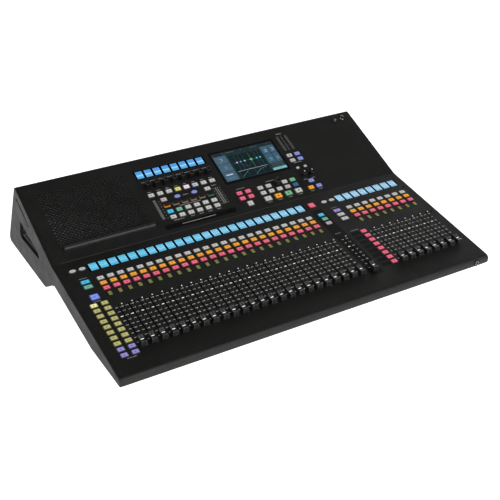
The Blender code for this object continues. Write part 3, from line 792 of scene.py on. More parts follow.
CHANNEL_KEYS = laid_out(
    *strip_runs(0, CHANNELS),
    *grid_runs(),
    (DISPLAY_ROW + 0.001, OVAL_KEY, "white", -2.0, -1.06),
    (SELECT_ROW, WIDE_KEY, "cyan", GRID_MIDDLE),
    (SOLO_ROW, WIDE_KEY, "teal", GRID_MIDDLE),
    (LAYER_ROW, LAYER_KEY, "blue", GRID_MIDDLE),
)
BANK_KEYS = laid_out(
    *strip_runs(BANK_COLUMN, BANK_FADERS),
    (DISPLAY_ROW, SQUARE_KEY, "red", MASTER_COLUMN),
    (SELECT_ROW, KEY, "cyan", MASTER_COLUMN),
    (SOLO_ROW, KEY, "teal", MASTER_COLUMN),
    (MUTE_ROW, KEY, "rose", MASTER_COLUMN),
    (DISPLAY_ROW, OVAL_KEY, "white", 26.06, 27.02),
    (SELECT_ROW, WIDE_KEY, "violet", RIGHT_KEY_COLUMN),
    (SOLO_ROW, WIDE_KEY, "white", RIGHT_KEY_COLUMN),
    (MUTE_ROW, WIDE_KEY, "white", RIGHT_KEY_COLUMN),
    *[(GRID_ROW - GRID_STEP * n, KEY, "red", MUTE_GROUP_COLUMN) for n in range(1, 9)],
)
FAT_KEYS = laid_out(
    (KEY_ROW, KEY, "white", *count_up(FAT_COLUMN, 3)),
    (KEY_ROW, KEY, "lemon", FAT_COLUMN + 3),
    (KEY_ROW, KEY, "lilac", FAT_COLUMN + 4),
    (KEY_ROW, KEY, "ice", FAT_COLUMN + 5),
    (KEY_ROW, KEY, "white", FAT_COLUMN + 6, FAT_COLUMN + 7),
    (LINK_ROW, KEY, "rose", 10.03),
    (LINK_ROW, OVAL_KEY, "periwinkle", 11.57, 13.51),
    (LINK_ROW, KEY, "white", 15.05),
    (BLOCK_ROWS[0], KEY, "half_amber", FAT_COLUMN + 1),
    (BLOCK_ROWS[0], KEY, "half_white", *count_up(FAT_COLUMN + 2, 4)),
    (BLOCK_ROWS[0], KEY, "half_green", FAT_COLUMN + 6),
    (BLOCK_ROWS[1], KEY, "cyan", FAT_COLUMN + 1),
    (BLOCK_ROWS[1], KEY, "teal", FAT_COLUMN + 2),
    (BLOCK_ROWS[1], KEY, "white", *count_up(FAT_COLUMN + 3, 4)),
    (BLOCK_ROWS[2], KEY, "white", *count_up(FAT_COLUMN + 1, 6)),
)
SCREEN_KEYS = laid_out(
    (BLOCK_ROWS[1], KEY, "red", 18.04, 19.07),
    (BLOCK_ROWS[2], KEY, "red", 18.04, 19.07),
    (TRANSPORT_ROW, TALL_KEY, "white", 18.55),
    (BLOCK_ROWS[1], KEY, "white", 20.56, 21.57, 23.57),
    (BLOCK_ROWS[1], KEY, "green", 24.57),
    (BLOCK_ROWS[2], KEY, "white", 20.57, 21.57, 22.57),
    (BLOCK_ROWS[2], KEY, "rose", 23.57),
    (BLOCK_ROWS[2], KEY, "deep_blue", 24.57),
    (TRANSPORT_ROW, BIG_KEY, "white", 20.69, 24.47),
    (TRANSPORT_ROW, BIG_KEY, "amber", 21.95),
    (TRANSPORT_ROW, BIG_KEY, "green", 23.21),
    (METER_KEY_ROWS[0], KEY, "white", 26.05),
    (METER_KEY_ROWS[1], KEY, "rose", 26.05),
    (METER_KEY_ROWS[0], KEY, "periwinkle", 27.05),
    (METER_KEY_ROWS[1], KEY, "periwinkle", 27.05),
    (SOCKET_KEY_ROW, SMALL_KEY, "white", 26.04, 27.0),
    (BLOCK_ROWS[2], KEY, "periwinkle", 26.56),
    (TRANSPORT_ROW - 0.001, KEY, "amber", 26.04),
    (TRANSPORT_ROW - 0.001, KEY, "periwinkle", 27.05),
)


def key_outline(steps, row, size, grow=0.0):
    size_now = (size[0] + 2 * grow, size[1] + 2 * grow)
    if size == OVAL_KEY:
        return oval(column(steps), row, size_now)
    corner = max(0.0003, min(KEY_CORNER, 0.2 * size[1]) + grow)
    return soft_rectangle(column(steps), row, size_now, corner)


def lay_uv(uv, faces, x, y, size):
    """Spreads a UV from -1 to 1 over a key or a tile."""
    for face in faces:
        for corner in face.loops:
            spot = corner.vert.co
            place = Vector(((spot.x - x) / size[0] * 2, (spot.y - y) / size[1] * 2))
            if size == OVAL_KEY and place.length > 0:  # its edge reads as the edge of a square
                place *= place.length / max(abs(place.x), abs(place.y))
            corner[uv].uv = place


def add_keycap(edit, uv, steps, row, size):
    """A silicone keycap with a rolled edge and a slightly crowned face."""
    crown = [(-0.28 * size[1], KEY_TOP + 0.00014)]

    def outline_of(grow):
        return key_outline(steps, row, size, grow)

    faces = slab(edit, outline_of, -0.005, KEY_TOP, 0.0007, crown=crown)
    lay_uv(uv, faces, column(steps), row, size)


def arrow(x, y, way, size=0.0032):
    """A triangle that points one way along X, and a bar at its tip."""
    tail, half = x - way * size * 0.5, way * size / 2
    head = [(tail, y + half), (tail, y - half), (x + way * size * 0.4, y)]
    return [head, rectangle(x + way * size * 0.62, y, (0.0006, size))]


def back_arrow(x, y):
    return arrow(x, y, -1)


def forward_arrow(x, y):
    return arrow(x, y, 1)


def triangle(x, y, size=0.0042):
    return [[(x - size * 0.4, y - size / 2), (x + size * 0.5, y), (x - size * 0.4, y + size / 2)]]


def square(x, y):
    return [rectangle(x, y, (0.0034, 0.0034))]


def disc(x, y):
    return [oval(x, y, (0.004, 0.004), 16)]


SYMBOLS = {
    (20.69, TRANSPORT_ROW): back_arrow,
    (21.95, TRANSPORT_ROW): square,
    (23.21, TRANSPORT_ROW): triangle,
    (24.47, TRANSPORT_ROW): disc,
    (20.56, BLOCK_ROWS[1]): back_arrow,
    (21.57, BLOCK_ROWS[1]): forward_arrow,
    (26.05, METER_KEY_ROWS[0]): square,
}


def add_legends(edit, all_keys):
    """A dark mark on each key: two short strokes, or a symbol where the key has one."""
    draws = random.Random(len(all_keys))
    for steps, row, size, _ in all_keys:
        x = column(steps)
        symbol = SYMBOLS.get((round(steps, 2), row))
        if symbol:
            outlines = symbol(x, row)
        else:
            long, short = draws.uniform(0.26, 0.38), draws.uniform(0.10, 0.22)
            outlines = [rectangle(x - 0.02 * size[0], row, (long * size[0], 0.0009))]
            if size[1] > 0.0095:
                spot = x - (long - short) * size[0] / 2
                outlines.append(rectangle(spot, row - 0.0017, (short * size[0], 0.0006)))
        for outline in outlines:
            prism(edit, outline, KEY_TOP + 0.0001, KEY_TOP + 0.00014 + INK)


def add_mat(group, plane, all_keys, web, openings=()):
    """One silicone mat: its web under the panel, and its caps in one piece for each colour."""
    body = group + "_key_mat"
    edit = plate([[(column(steps), row) for steps, row in web], *openings], -0.005, -0.0038)
    piece(group + "_key_web", edit, LIT["white"], plane, "key_rubber", body, [body])
    for colour in dict.fromkeys(key[3] for key in all_keys):
        edit = bmesh.new()
        uv = edit.loops.layers.uv.new("face")
        for key in all_keys:
            if key[3] == colour:
                add_keycap(edit, uv, *key[:3])
        piece(f"{group}_keys_{colour}", edit, LIT[colour], plane, "key_rubber", body)
    edit = bmesh.new()
    add_legends(edit, all_keys)
    piece(group + "_legends", edit, LEGEND, plane, body=body)


KNOB_SHAFTS = [(VALUE_COLUMN, BLOCK_ROWS[1])] + [(steps, LEVEL_ROW) for steps in LEVEL_COLUMNS]
BAND = (MUTE_ROW - 0.009, SELECT_ROW + 0.009)  # front and rear of the strips' three rows of keys
GRID_FRONT = GRID_ROW - 9 * GRID_STEP - 0.01
MUTE_FRONT = GRID_ROW - 8 * GRID_STEP - 0.008
DISPLAY_REAR = DISPLAY_ROW + 0.01
add_mat("channel", FADER_PLANE, CHANNEL_KEYS, [
    (-2.62, GRID_FRONT), (-0.42, GRID_FRONT), (-0.42, BAND[0]), (23.5, BAND[0]),
    (23.5, BAND[1]), (-0.62, BAND[1]), (-0.62, DISPLAY_REAR), (-2.62, DISPLAY_REAR),
])
add_mat("bank", FADER_PLANE, BANK_KEYS, [
    (23.95, BAND[0]), (26.55, BAND[0]), (26.55, MUTE_FRONT), (27.5, MUTE_FRONT),
    (27.5, BAND[0]), (35.55, BAND[0]), (35.55, BAND[1]), (27.5, BAND[1]),
    (27.5, DISPLAY_REAR), (23.95, DISPLAY_REAR),
])
add_mat("fat_channel", SCREEN_PLANE, FAT_KEYS, [
    (9.55, BLOCK_ROWS[2] - 0.008), (15.55, BLOCK_ROWS[2] - 0.008), (15.55, KEY_ROW - 0.008),
    (16.55, KEY_ROW - 0.008), (16.55, KEY_ROW + 0.008), (8.55, KEY_ROW + 0.008),
    (8.55, KEY_ROW - 0.008), (9.55, KEY_ROW - 0.008),
])
add_mat("screen", SCREEN_PLANE, SCREEN_KEYS, [
    (17.55, TRANSPORT_ROW - 0.009), (27.55, TRANSPORT_ROW - 0.009),
    (27.55, METER_KEY_ROWS[0] + 0.008), (25.6, METER_KEY_ROWS[0] + 0.008),
    (25.6, BLOCK_ROWS[1] + 0.008), (17.55, BLOCK_ROWS[1] + 0.008),
], [oval(column(steps), row, (0.009, 0.009)) for steps, row in KNOB_SHAFTS])


# Faders


FADERS = {f"fader_cap_{n + 1:02d}": n for n in range(CHANNELS)}
FADERS["fader_cap_master"] = MASTER_COLUMN
FADERS |= {f"fader_cap_{CHANNELS + 1 + n}": BANK_COLUMN + n for n in range(BANK_FADERS)}
STRIPS = [steps for steps in FADERS.values() if steps != MASTER_COLUMN]


def slot_outline(steps, grow=0.0):
    size = (SLOT_WIDTH + 2 * grow, SLOT_REAR - SLOT_FRONT + 2 * grow)
    return soft_rectangle(column(steps), (SLOT_FRONT + SLOT_REAR) / 2, size, SLOT_WIDTH / 2)


def cap_mesh():
    """One fader cap: a flared skirt, a waist, a dished and ridged saddle, and its line.
    Its lighter ridges and a bright mark on each side are painted highlights.
    """
    edit = bmesh.new()
    base, floor, ridge, width, depth, reach = 0.0022, 0.0084, 0.0112, 0.0124, 0.0236, 0.0092

    def saddle(y):
        return floor + (ridge - floor) * abs(y / reach) ** 2.2

    prism(edit, rectangle(0, 0, (0.0012, 0.006)), -0.015, base + 0.001)
    front = [(-depth / 2, base), (-depth / 2, base + 0.0022), (-0.0106, base + 0.0046)]
    front.append((-0.0098, ridge - 0.0006))
    dish = [(y, saddle(y)) for y in [reach * n / 6 for n in range(-6, 7)]]
    rings = []
    for share in (-1.0, -0.94, 0.94, 1.0):
        ring = []
        for y, z in front + dish + [(-y, z) for y, z in front[::-1]]:
            taper = 1 - 0.2 * min(1.0, max(0.0, (z - base - 0.0022) / 0.005))
            inset = 0.0004 if abs(share) == 1.0 and z > base + 0.003 else 0.0
            ring.append((share * width / 2 * taper, y * (1 - inset * 40), z - inset))
        rings.append(ring)
    loft(edit, rings)
    prism(edit, rectangle(0, 0, (0.006, 0.0018)), floor - 0.00056, floor + 0.00004 + INK, 1)
    # Short ridges on the saddle in lighter plastic: painted highlights.
    for n in range(5):
        y = 0.0022 + 0.0014 * n
        for x in (-0.0024, 0.0024):
            line = rectangle(x, y, (0.003, 0.0006))
            prism(edit, line, saddle(y) - 0.0006, saddle(y) + 0.0003, 2)
    # A bright mark on each side of the cap: a painted highlight.
    for side in (-1, 1):
        x = side * (width / 2 * 0.82 + 0.0001)
        mark = rectangle(0, floor - 0.0023, (0.0008, 0.0034))
        loft(edit, [[(px, y, z) for y, z in mark] for px in (x - side * 0.0012, x)], 1)
    facing_out(edit)
    return made("fader_cap", edit)


CAP = cap_mesh()
for name, steps in FADERS.items():
    spot = FADER_PLANE @ Matrix.Translation((column(steps), CAP_REST, 0))
    cap_looks = (CAP_PLASTIC, BRIGHT_PRINT, CAP_RIDGE_HIGHLIGHT)
    piece(name + "_body", CAP.copy(), cap_looks, spot, "cap_plastic", name, [name], 28)


@drawn(FELT, FADER_PLANE)
def slot_dust_felts(edit):
    for steps in FADERS.values():
        prism(edit, slot_outline(steps, 0.0004), -0.0062, -0.0035)


def digits(text, height):
    """The mesh of a short number, centred on the origin."""
    curve = bpy.data.curves.new("digits", "FONT")
    curve.body = text
    curve.size = height
    curve.align_x = "CENTER"
    curve.align_y = "CENTER"
    curve.resolution_u = 2
    curve.extrude = INK / 2
    curve.offset = 0.00012  # bold
    return curve_mesh(curve)


@drawn((PRINT, BRIGHT_PRINT), FADER_PLANE)
def fader_scales(edit):
    """Dashes at both sides of each slot and level numbers on its right."""
    marks = ("10", "5", "0", "5", "10", "20", "30", "40", "60")
    rows = (-7.78, -8.36, -9.0, -9.62, -10.19, -10.75, -11.31, -11.93, -12.55)
    for text, row in zip(marks, rows):
        y = row * PITCH
        zero = int(text == "0")
        number = digits(text, 0.004 if zero else 0.0034)
        for steps in FADERS.values():
            start = len(edit.verts)
            edit.from_mesh(number)
            edit.verts.ensure_lookup_table()
            lift = FILM if steps == MASTER_COLUMN else 0.0
            spot = (column(steps + 0.31), y, lift + 0.7 * INK)
            bmesh.ops.translate(edit, verts=edit.verts[start:], vec=spot)
            dash = rectangle(column(steps - 0.26), y, (0.005, 0.0016 if zero else 0.00085))
            prism(edit, dash, 0, lift + INK, zero)
            dash = rectangle(column(steps + 0.14), y, (0.002, 0.0013 if zero else 0.0007))
            prism(edit, dash, 0, lift + INK)
    bmesh.ops.remove_doubles(edit, verts=edit.verts, dist=1e-7)


@drawn(BRIGHT_PRINT, FADER_PLANE)
def signal_lights(edit):
    profile = ((0.0011, -0.001), (0.0011, 0.0002), (0.0006, 0.0004))
    for steps in FADERS.values():
        turned(edit, profile, 12, (column(steps + 0.39), -7.42 * PITCH))


# Panels


def window(left, right, row, grow=0.0):
    """The outline of a row of displays' window, less its clearance when it isn't an opening."""
    half = WINDOW_DEPTH / 2 + grow
    return block(left - grow / PITCH, right + grow / PITCH, row - half, row + half)


WINDOWS = {
    "channel_display_glass": (-0.52, 23.62, DISPLAY_ROW),
    "bank_display_glass": (27.56, 35.64, DISPLAY_ROW),
    "parameter_display_glass": (FAT_COLUMN - 0.57, FAT_COLUMN + 7.57, PARAMETER_ROW),
}


@drawn(PAINT, None, "black_paint", instead_of=["fader_panel"])
def fader_panel_skin(edit):
    """The front sheet, rolled down at the operator's edge."""
    low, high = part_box("fader_panel")
    way = Vector(LIP_FACE[0].yz) - NOSE
    foot = NOSE + way * (low.z - NOSE.y) / way.y
    corners = [(*on_plane(FADER_PLANE, -GAP / 2), 0), (*NOSE, 0.0085), (*foot, 0)]
    sheet = strip(rounded(corners, 10), SHEET)
    across(edit, [(low.x, sheet), (high.x, sheet)])


@drawn(PAINT, None, "black_paint", instead_of=["screen_panel"])
def screen_panel_skin(edit):
    """The rear sheet, rolled over at its rear edge."""
    low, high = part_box("screen_panel")
    way = (Vector(FOLD_FACE[0].yz) - REAR_CORNER).normalized()
    fold = (*(REAR_CORNER + way * 0.0146), 0)
    corners = [fold, (*REAR_CORNER, 0.008), (*on_plane(SCREEN_PLANE, GAP / 2), 0)]
    sheet = strip(rounded(corners, 10), SHEET)
    across(edit, [(low.x, sheet), (high.x, sheet)])


def vent_holes():
    """A staggered field of small holes over the speaker-sized vent behind the tablet ledge."""
    left, right, front, rear = column(-1.8), column(7.35), 1.95 * PITCH, 8.72 * PITCH
    step, size = 0.44 * HOLE_PITCH, (2 * HOLE_RADIUS, 2 * HOLE_RADIUS)
    holes = []
    for n in range(math.ceil((rear - front) / step)):
        start = left + (n % 2) * HOLE_PITCH / 2
        for k in range(math.ceil((right - start) / HOLE_PITCH)):
            holes.append(oval(start + k * HOLE_PITCH, front + n * step, size, 8))
    return holes


def shade_holes(panel):
    """Hole walls painted lighter towards the front left corner of the vent: painted highlights where
    they catch the light.
    """
    for look in HOLE_WALL_HIGHLIGHTS:
        panel.data.materials.append(look)
    into_plane = SCREEN_PLANE.inverted()
    for face in panel.data.polygons:
        x, y, _ = into_plane @ face.center
        in_vent = column(-2.0) < x < column(7.6) and 0.03 < y < 0.19
        if in_vent and abs(face.normal.dot(SCREEN_FACE[1])) < 0.3:
            uneven = math.sin(7.1 * round(x / HOLE_PITCH * 2) + 3.3 * round(y / HOLE_PITCH))
            fade = (x - column(-2.0)) / 0.198 + (y - 0.03) / 0.13 + 0.16 * uneven
            face.material_index = 1 if fade < 0.62 else 2 if fade < 0.98 else 3


openings = [key_outline(*key[:3], FIT) for key in CHANNEL_KEYS + BANK_KEYS]
openings += [slot_outline(steps) for steps in FADERS.values()]
openings += [window(*WINDOWS[glass]) for glass in ("channel_display_glass", "bank_display_glass")]
cut(fader_panel_skin, openings, FADER_PLANE)
smooth(fader_panel_skin)
openings = [key_outline(*key[:3], FIT) for key in FAT_KEYS + SCREEN_KEYS]
shafts = [(FAT_COLUMN + n, ENCODER_ROW) for n in range(8)] + KNOB_SHAFTS
openings += [oval(column(steps), row, (0.0072, 0.0072)) for steps, row in shafts]
openings += [window(*WINDOWS["parameter_display_glass"])]
openings += [soft_rectangle(*SCREEN_SPOT, SCREEN_OPENING, 0.001)] + vent_holes()
cut(screen_panel_skin, openings, SCREEN_PLANE)
shade_holes(screen_panel_skin)
smooth(screen_panel_skin)


@drawn(EDGE_HIGHLIGHT_PAINT, None, "black_paint")
def crease_bead(edit):
    """The rounded front edge of the screen panel, painted lighter as a highlight along the crease.
    """
    y, z = on_plane(SCREEN_PLANE, 0.0008)
    angles = [math.pi * n / 8 for n in range(9)]
    bead = [(y + 0.0006 * math.cos(a), z + 0.0006 * math.sin(a) - 0.0002) for a in angles]
    across(edit, [(column(-2.6), bead), (column(35.7), bead)])


@drawn((EDGE_HIGHLIGHT_PAINT, BLACK_AND_SHADE), SCREEN_PLANE, "black_paint", instead_of=["tablet_ledge"])
def tablet_ledge_bar(edit):
    """The bar that a tablet leans on: a soft-edged extrusion with closed, rounded ends."""
    low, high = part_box("tablet_ledge")
    x, row = (SCREEN_PLANE.inverted() @ middle("tablet_ledge")).xy
    half, depth, height = (high.x - low.x) / 2, 0.0055, 0.0094
    outline = rounded([
        (-depth, 0.0003, 0.0004), (depth, 0.0003, 0.0004), (depth, height, 0.003),
        (-depth, height, 0.005),
    ], 7)
    ends = ((0.0, -0.0012), (0.0003, -0.0005), (0.0012, 0.0))
    stops = [(d - half, g) for d, g in ends] + [(half - d, g) for d, g in ends[::-1]]
    across(edit, [
        (x + stop, [(row - 0.00024 + y, max(z, 0.0001)) for y, z in grown(outline, g)])
        for stop, g in stops
    ])
    # The front faces are near black, painted shade; the rest takes the lighter paint, a painted
    # highlight along the top.
    for face in edit.faces:
        face.material_index = 1 if face.normal.y < -0.6 else 0


# Cheeks


def side_outlines(node, side):
    """The counter-clockwise (y, z) outlines, longest first, of a cheek's outer face."""
    edit = bmesh.new()
    edit.from_mesh(frame["nodes"][node].data)
    bmesh.ops.remove_doubles(edit, verts=edit.verts, dist=1e-6)
    out = max(side * v.co.x for v in edit.verts)
    flat = {f for f in edit.faces if all(side * v.co.x > out - 1e-5 for v in f.verts)}
    follow = {}
    for face in flat:
        for corner in face.loops:
            if corner.edge.is_boundary or corner.link_loop_radial_next.face not in flat:
                follow[corner.vert] = corner.link_loop_next.vert
    outlines = []
    while follow:
        walk, here = [], next(iter(follow))
        while here in follow:
            walk.append(tuple(here.co.yz))
            here = follow.pop(here)
        area = sum(a[0] * b[1] - b[0] * a[1] for a, b in zip(walk, walk[1:] + walk[:1]))
        outlines.append((abs(area), walk if area > 0 else walk[::-1]))
    edit.free()
    return [tidy_outline(walk) for _, walk in sorted(outlines, key=lambda pair: -pair[0])]


def tidy_outline(outline):
    """The same outline without the points that lie on a straight run."""
    kept = []
    for i, point in enumerate(outline):
        before = Vector(point) - Vector(outline[i - 1])
        after = Vector(outline[(i + 1) % len(outline)]) - Vector(point)
        if before.length > 1e-6 and before.angle(after, 0) > 0.01:
            kept.append(point)
    return kept


def add_cheek(node, side):
    """A side cheek with soft edges and a fine groove round it, its carrying recess and its slot."""
    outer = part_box(node)[0 if side < 0 else 1].x
    outline, recess, slot = side_outlines(node, side)[:3]

    def stacked(path, rings):
        """A body from (depth behind the outer face, growth of the path) rings."""
        edit = bmesh.new()
        across(edit, [(outer - side * depth, grown(path, by)) for depth, by in rings])
        return edit

    def sink(path, above, below):
        """Cuts a path into the outer face."""
        near, far = (-above, below) if side < 0 else (-below, above)
        cut(cheek, [path], Matrix.Translation((outer, 0, 0)) @ turn, near, far)

    turn = Matrix(((0, 0, 1, 0), (1, 0, 0, 0), (0, 1, 0, 0), (0, 0, 0, 1)))
    edit = stacked(outline, (
        (0.0, -0.001), (0.0001, -0.0006), (0.0004, -0.0002), (0.001, 0.0), (0.0034, 0.0),
        (0.0035, -0.0005), (0.0038, -0.0005), (0.0039, 0.0), (0.0058, 0.0), (0.006, -0.0003),
    ))
    cheek = piece(node + "_skin", edit, PAINT, slot="black_paint", instead_of=[node])
    sink(recess, 0.008, 0.008)
    sink(slot, 0.0005, 0.003)
    # The slot's floor is near black: painted shade inside the slot.
    piece(node + "_slot_floor", stacked(slot, ((0.003, -0.0001), (0.0026, -0.0001))), BLACK_AND_SHADE)
    sink(grown(recess, 0.0006), 0.0005, 0.0004)
    smooth(cheek)
    edit = stacked(recess, (
        (0.0135, 0.0016), (0.0062, 0.0016), (0.0061, 0.0001), (0.0098, -0.0026),
        (0.0108, -0.003), (0.011, -0.004),
    ))
    # The recess is painted lighter than the cheek to stand for the light it catches, except the rear
    # wall facing the front, which keeps the plain paint; a near-black band where the walls meet the
    # floor is a painted shadow line.
    for face in edit.faces:
        deep = side * (outer - face.calc_center_median().x)
        if 0.0100 < deep < 0.0109:
            face.material_index = 1
        elif face.normal.y < -0.7 and deep < 0.0100:
            face.material_index = 2
    piece(node + "_recess", edit, (RECESS_LIGHT_PAINT, BLACK_AND_SHADE, PAINT), slot="black_paint")


add_cheek("left_cheek", -1)
add_cheek("right_cheek", 1)


# Displays and meters


def add_tiles(name, tiles, look, plane, low, high):
    """Lit faces (x, row, size), each with its own UV from -1 to 1."""
    edit = bmesh.new()
    uv = edit.loops.layers.uv.new("face")
    for x, row, size in tiles:
        faces = prism(edit, soft_rectangle(x, row, size, 0.0004, 2), low, high)
        lay_uv(uv, faces, x, row, size)
    piece(name, edit, look, plane)


def words(edit, x, row, width, height, draws, low, high, look=0):
    """A line of short bars of uneven length, where a real console has a word or two."""
    spot, end = x - width / 2, x + width / 2
    while spot < end - 0.3 * height:
        long = min(draws.uniform(1.1, 3.2) * height, end - spot)
        prism(edit, rectangle(spot + long / 2, row, (long, height)), low, high, look)
        spot += long + 0.5 * height


def add_glass(name, left, right, row):
    """The black glass over a row of displays, let into its opening."""

    def outline_of(grow):
        return window(left, right, row, grow - 0.0002)

    edit = bmesh.new()
    slab(edit, outline_of, -0.003, -0.0004, 0.0004)
    piece(name, edit, WINDOW, FADER_PLANE if row < 0 else SCREEN_PLANE)


BLUE_DISPLAY = [
    (0.0, (96, 172, 224)), (0.3, (92, 166, 226)), (0.38, (150, 214, 252)),
    (0.5, (146, 212, 250)), (0.58, (84, 158, 228)), (0.86, (82, 152, 222)),
    (1.0, (72, 132, 190)),
]
CYAN = ((94, 200, 238), (134, 218, 250))  # of the first display: its ground and its wide bar
PALE = ((156, 206, 238), (184, 224, 250))  # of the last one


def strip_display(share):
    """The ramp of a display over a fader, from the first at 0 to the last at 1."""
    ground, bar = [
        tuple(a + share * (b - a) for a, b in zip(first, last)) for first, last in zip(CYAN, PALE)
    ]
    dim = scaled(ground, 0.93)
    return [(0.0, dim), (0.34, ground), (0.42, bar), (0.62, bar), (0.72, ground), (1.0, dim)]


def add_displays(name, columns, row, size, stops, strength, plane):
    """A run of small displays: their lit tiles, and three lines of bars on each."""
    low, high = -0.0005, -0.00034
    xs = [column(steps) for steps in columns]
    look = lit_display(name, stops, strength)
    name = "parameter_display" if row > 0 else name
    add_tiles(name + "_tiles", [(x, row, size) for x in xs], look, plane, low, high)
    draws = random.Random(len(xs))
    edit = bmesh.new()
    for x in xs:
        for share, part, height in ((0.36, 0.5, 0.0011), (-0.36, 0.62, 0.0011), (0.05, 0.7, 0.0019)):
            spot = row + share * size[1]
            words(edit, x, spot, part * size[0], height, draws, high, high + INK)
    piece(name + "_text", edit, DISPLAY_TEXT, plane)


for name, place in WINDOWS.items():
    add_glass(name, *place)
fat_columns = count_up(FAT_COLUMN, 8)
add_displays(
    "blue_display", fat_columns, PARAMETER_ROW, (0.0152, 0.02), BLUE_DISPLAY, 1.15, SCREEN_PLANE
)
for n in range(5):
    run = [6 * n + k + 0.05 for k in range(6)] if n < 4 else count_up(BANK_COLUMN, BANK_FADERS)
    stops = strip_display(n / 4)
    add_displays(f"strip_display_{n + 1}", run, DISPLAY_ROW, DISPLAY_TILE, stops, 1.0, FADER_PLANE)


@drawn(WINDOW, FADER_PLANE)
def channel_meter_windows(edit):
    for steps in STRIPS:
        soft_slab(edit, column(steps), METER_ROW, (0.0092, 0.0122), *LET_IN)


METER_LOOKS = (lit_paint("green_light", (122, 150, 80)), lit_paint("salmon_light", (184, 120, 90)))


@drawn(METER_LOOKS, FADER_PLANE)
def channel_meter_lights(edit):
    """A small ladder of lights over each fader: green below, salmon above."""
    for steps in STRIPS:
        for n in range(6):
            light = rectangle(column(steps), METER_ROW - 0.0046 + 0.00184 * n, (0.007, 0.00132))
            prism(edit, light, *LIGHT, 0 if n < 4 else 1)


MAIN_METERS = ((25.85, 26.24), (26.86, 27.29))  # left and right of the two tall ladders
MAIN_FRONT, MAIN_DEPTH = 6.7 * PITCH, 2.4 * PITCH


@drawn(WINDOW, SCREEN_PLANE)
def main_meter_windows(edit):
    for left, right in MAIN_METERS:
        x, row = column((left + right) / 2), MAIN_FRONT + MAIN_DEPTH / 2
        soft_slab(edit, x, row, ((right - left) * PITCH, MAIN_DEPTH), *LET_IN)


@drawn((lit_paint("dim_segment", (104, 104, 100)), lit_paint("dim_top", (84, 76, 70))), SCREEN_PLANE)
def main_meter_lights(edit):
    for left, right in MAIN_METERS:
        for side in (-1, 1):
            for n in range(24):
                x = column((left + right) / 2) + side * 0.0018
                row = MAIN_FRONT + MAIN_DEPTH * (n + 0.7) / 24.4
                prism(edit, rectangle(x, row, (0.0026, 0.0012)), *LIGHT, 1 if n > 21 else 0)


@drawn(FAINT_PRINT, SCREEN_PLANE)
def main_meter_scale(edit):
    for n in range(12):
        row = MAIN_FRONT + MAIN_DEPTH * (n + 0.5) / 12
        prism(edit, rectangle(column(26.55), row, (0.0022, 0.0008)), 0, INK)


@drawn(lit_paint("grey_segment", (112, 112, 114)), SCREEN_PLANE)
def gain_ladder(edit):
    """The ladder of lights at the left of the processing keys."""
    for n in range(14):
        row = (2.02 + 0.19 * n) * PITCH
        soft_slab(edit, column(9.0), row, (0.0062, 0.0024), -0.0005, 0.0004, 0.0004, 0.0002)


@drawn(PRINT, SCREEN_PLANE)
def gain_scale(edit):
    """Dots beside the ladder, and two lines with dots at the right of the processing keys."""
    dots = [(9.44, 2.02 + 0.38 * n, 0.0012) for n in range(7)]
    dots += [(steps, 2.05 + 0.35 * n, 0.0013) for n in range(7) for steps in (15.66, 16.38)]
    for steps, row, size in dots:
        prism(edit, oval(column(steps), row * PITCH, (size, size), 10), 0, INK)
    for steps in (15.9, 16.12):
        prism(edit, rectangle(column(steps), 3.1 * PITCH, (0.0006, 2.3 * PITCH)), 0, INK)


# Print and overlays


def film(edit, left, right, front, rear):
    prism(edit, block(left, right, front * PITCH, rear * PITCH, 0.001), 0, FILM)


@drawn(OVERLAY, FADER_PLANE)
def fader_overlays(edit):
    """The darker films under the master fader and beside the mute groups."""
    film(edit, 23.78, 25.15, -13.65, -2.45)
    for n in range(1, 9):
        row = (GRID_ROW - GRID_STEP * n) / PITCH
        film(edit, 25.58, 26.62, row - 0.27, row + 0.27)


openings = [key_outline(MASTER_COLUMN, row, KEY, FIT) for row in (SELECT_ROW, SOLO_ROW, MUTE_ROW)]
cut(fader_overlays, [slot_outline(MASTER_COLUMN, 0.0002), *openings], FADER_PLANE)
smooth(fader_overlays)


@drawn(OVERLAY, SCREEN_PLANE)
def screen_overlays(edit):
    film(edit, 8.66, 16.69, 0.55, 1.15)


LABEL_DRAWS = random.Random(7)


def label(edit, steps, row, width, height=0.0012, above=0.0):
    """Short uneven bars where a real console has its printed words."""
    words(edit, column(steps), row * PITCH, width, height, LABEL_DRAWS, above, above + INK)


@drawn(FAINT_PRINT, FADER_PLANE)
def fader_labels(edit):
    for steps, row, width in (
        (GRID_MIDDLE, -2.8, 0.016), (RIGHT_KEY_COLUMN, -2.8, 0.016), (GRID_MIDDLE, -6.25, 0.014),
        (GRID_MIDDLE, (GRID_ROW - 9 * GRID_STEP) / PITCH - 0.45, 0.018),
    ):
        label(edit, steps, row, width)
    label(edit, MASTER_COLUMN - 0.1, -6.72, 0.014, above=FILM)
    label(edit, 26.3, -6.95, 0.02)


@drawn(FAINT_PRINT, SCREEN_PLANE)
def screen_labels(edit):
    for n in range(8):
        label(edit, FAT_COLUMN + n, 7.15, 0.013)
        label(edit, FAT_COLUMN + n, 5.72, 0.008)
    for steps, row, width in (
        (12.5, 4.35, 0.012), (12.5, 3.15, 0.05), (10.5, 1.5, 0.024), (12.04, 1.5, 0.01),
        (13.04, 1.5, 0.01), (14.04, 1.5, 0.01), (15.04, 1.5, 0.01), (15.9, 4.6, 0.012),
        (18.45, 3.3, 0.02), (22.3, 3.3, 0.03), (RIGHT_KEY_COLUMN, 4.85, 0.02),
        (RIGHT_KEY_COLUMN, 9.35, 0.014), (26.05, 2.32, 0.008), (26.05, 0.62, 0.009),
        (27.05, 2.32, 0.008), (27.05, 0.62, 0.009),
    ):
        label(edit, steps, row, width)
    for n in range(4):
        label(edit, 20.69 + 1.26 * n, 0.6, 0.01, 0.001)
    label(edit, 12.45, 0.86, 0.078, 0.0014, FILM)


# Knobs


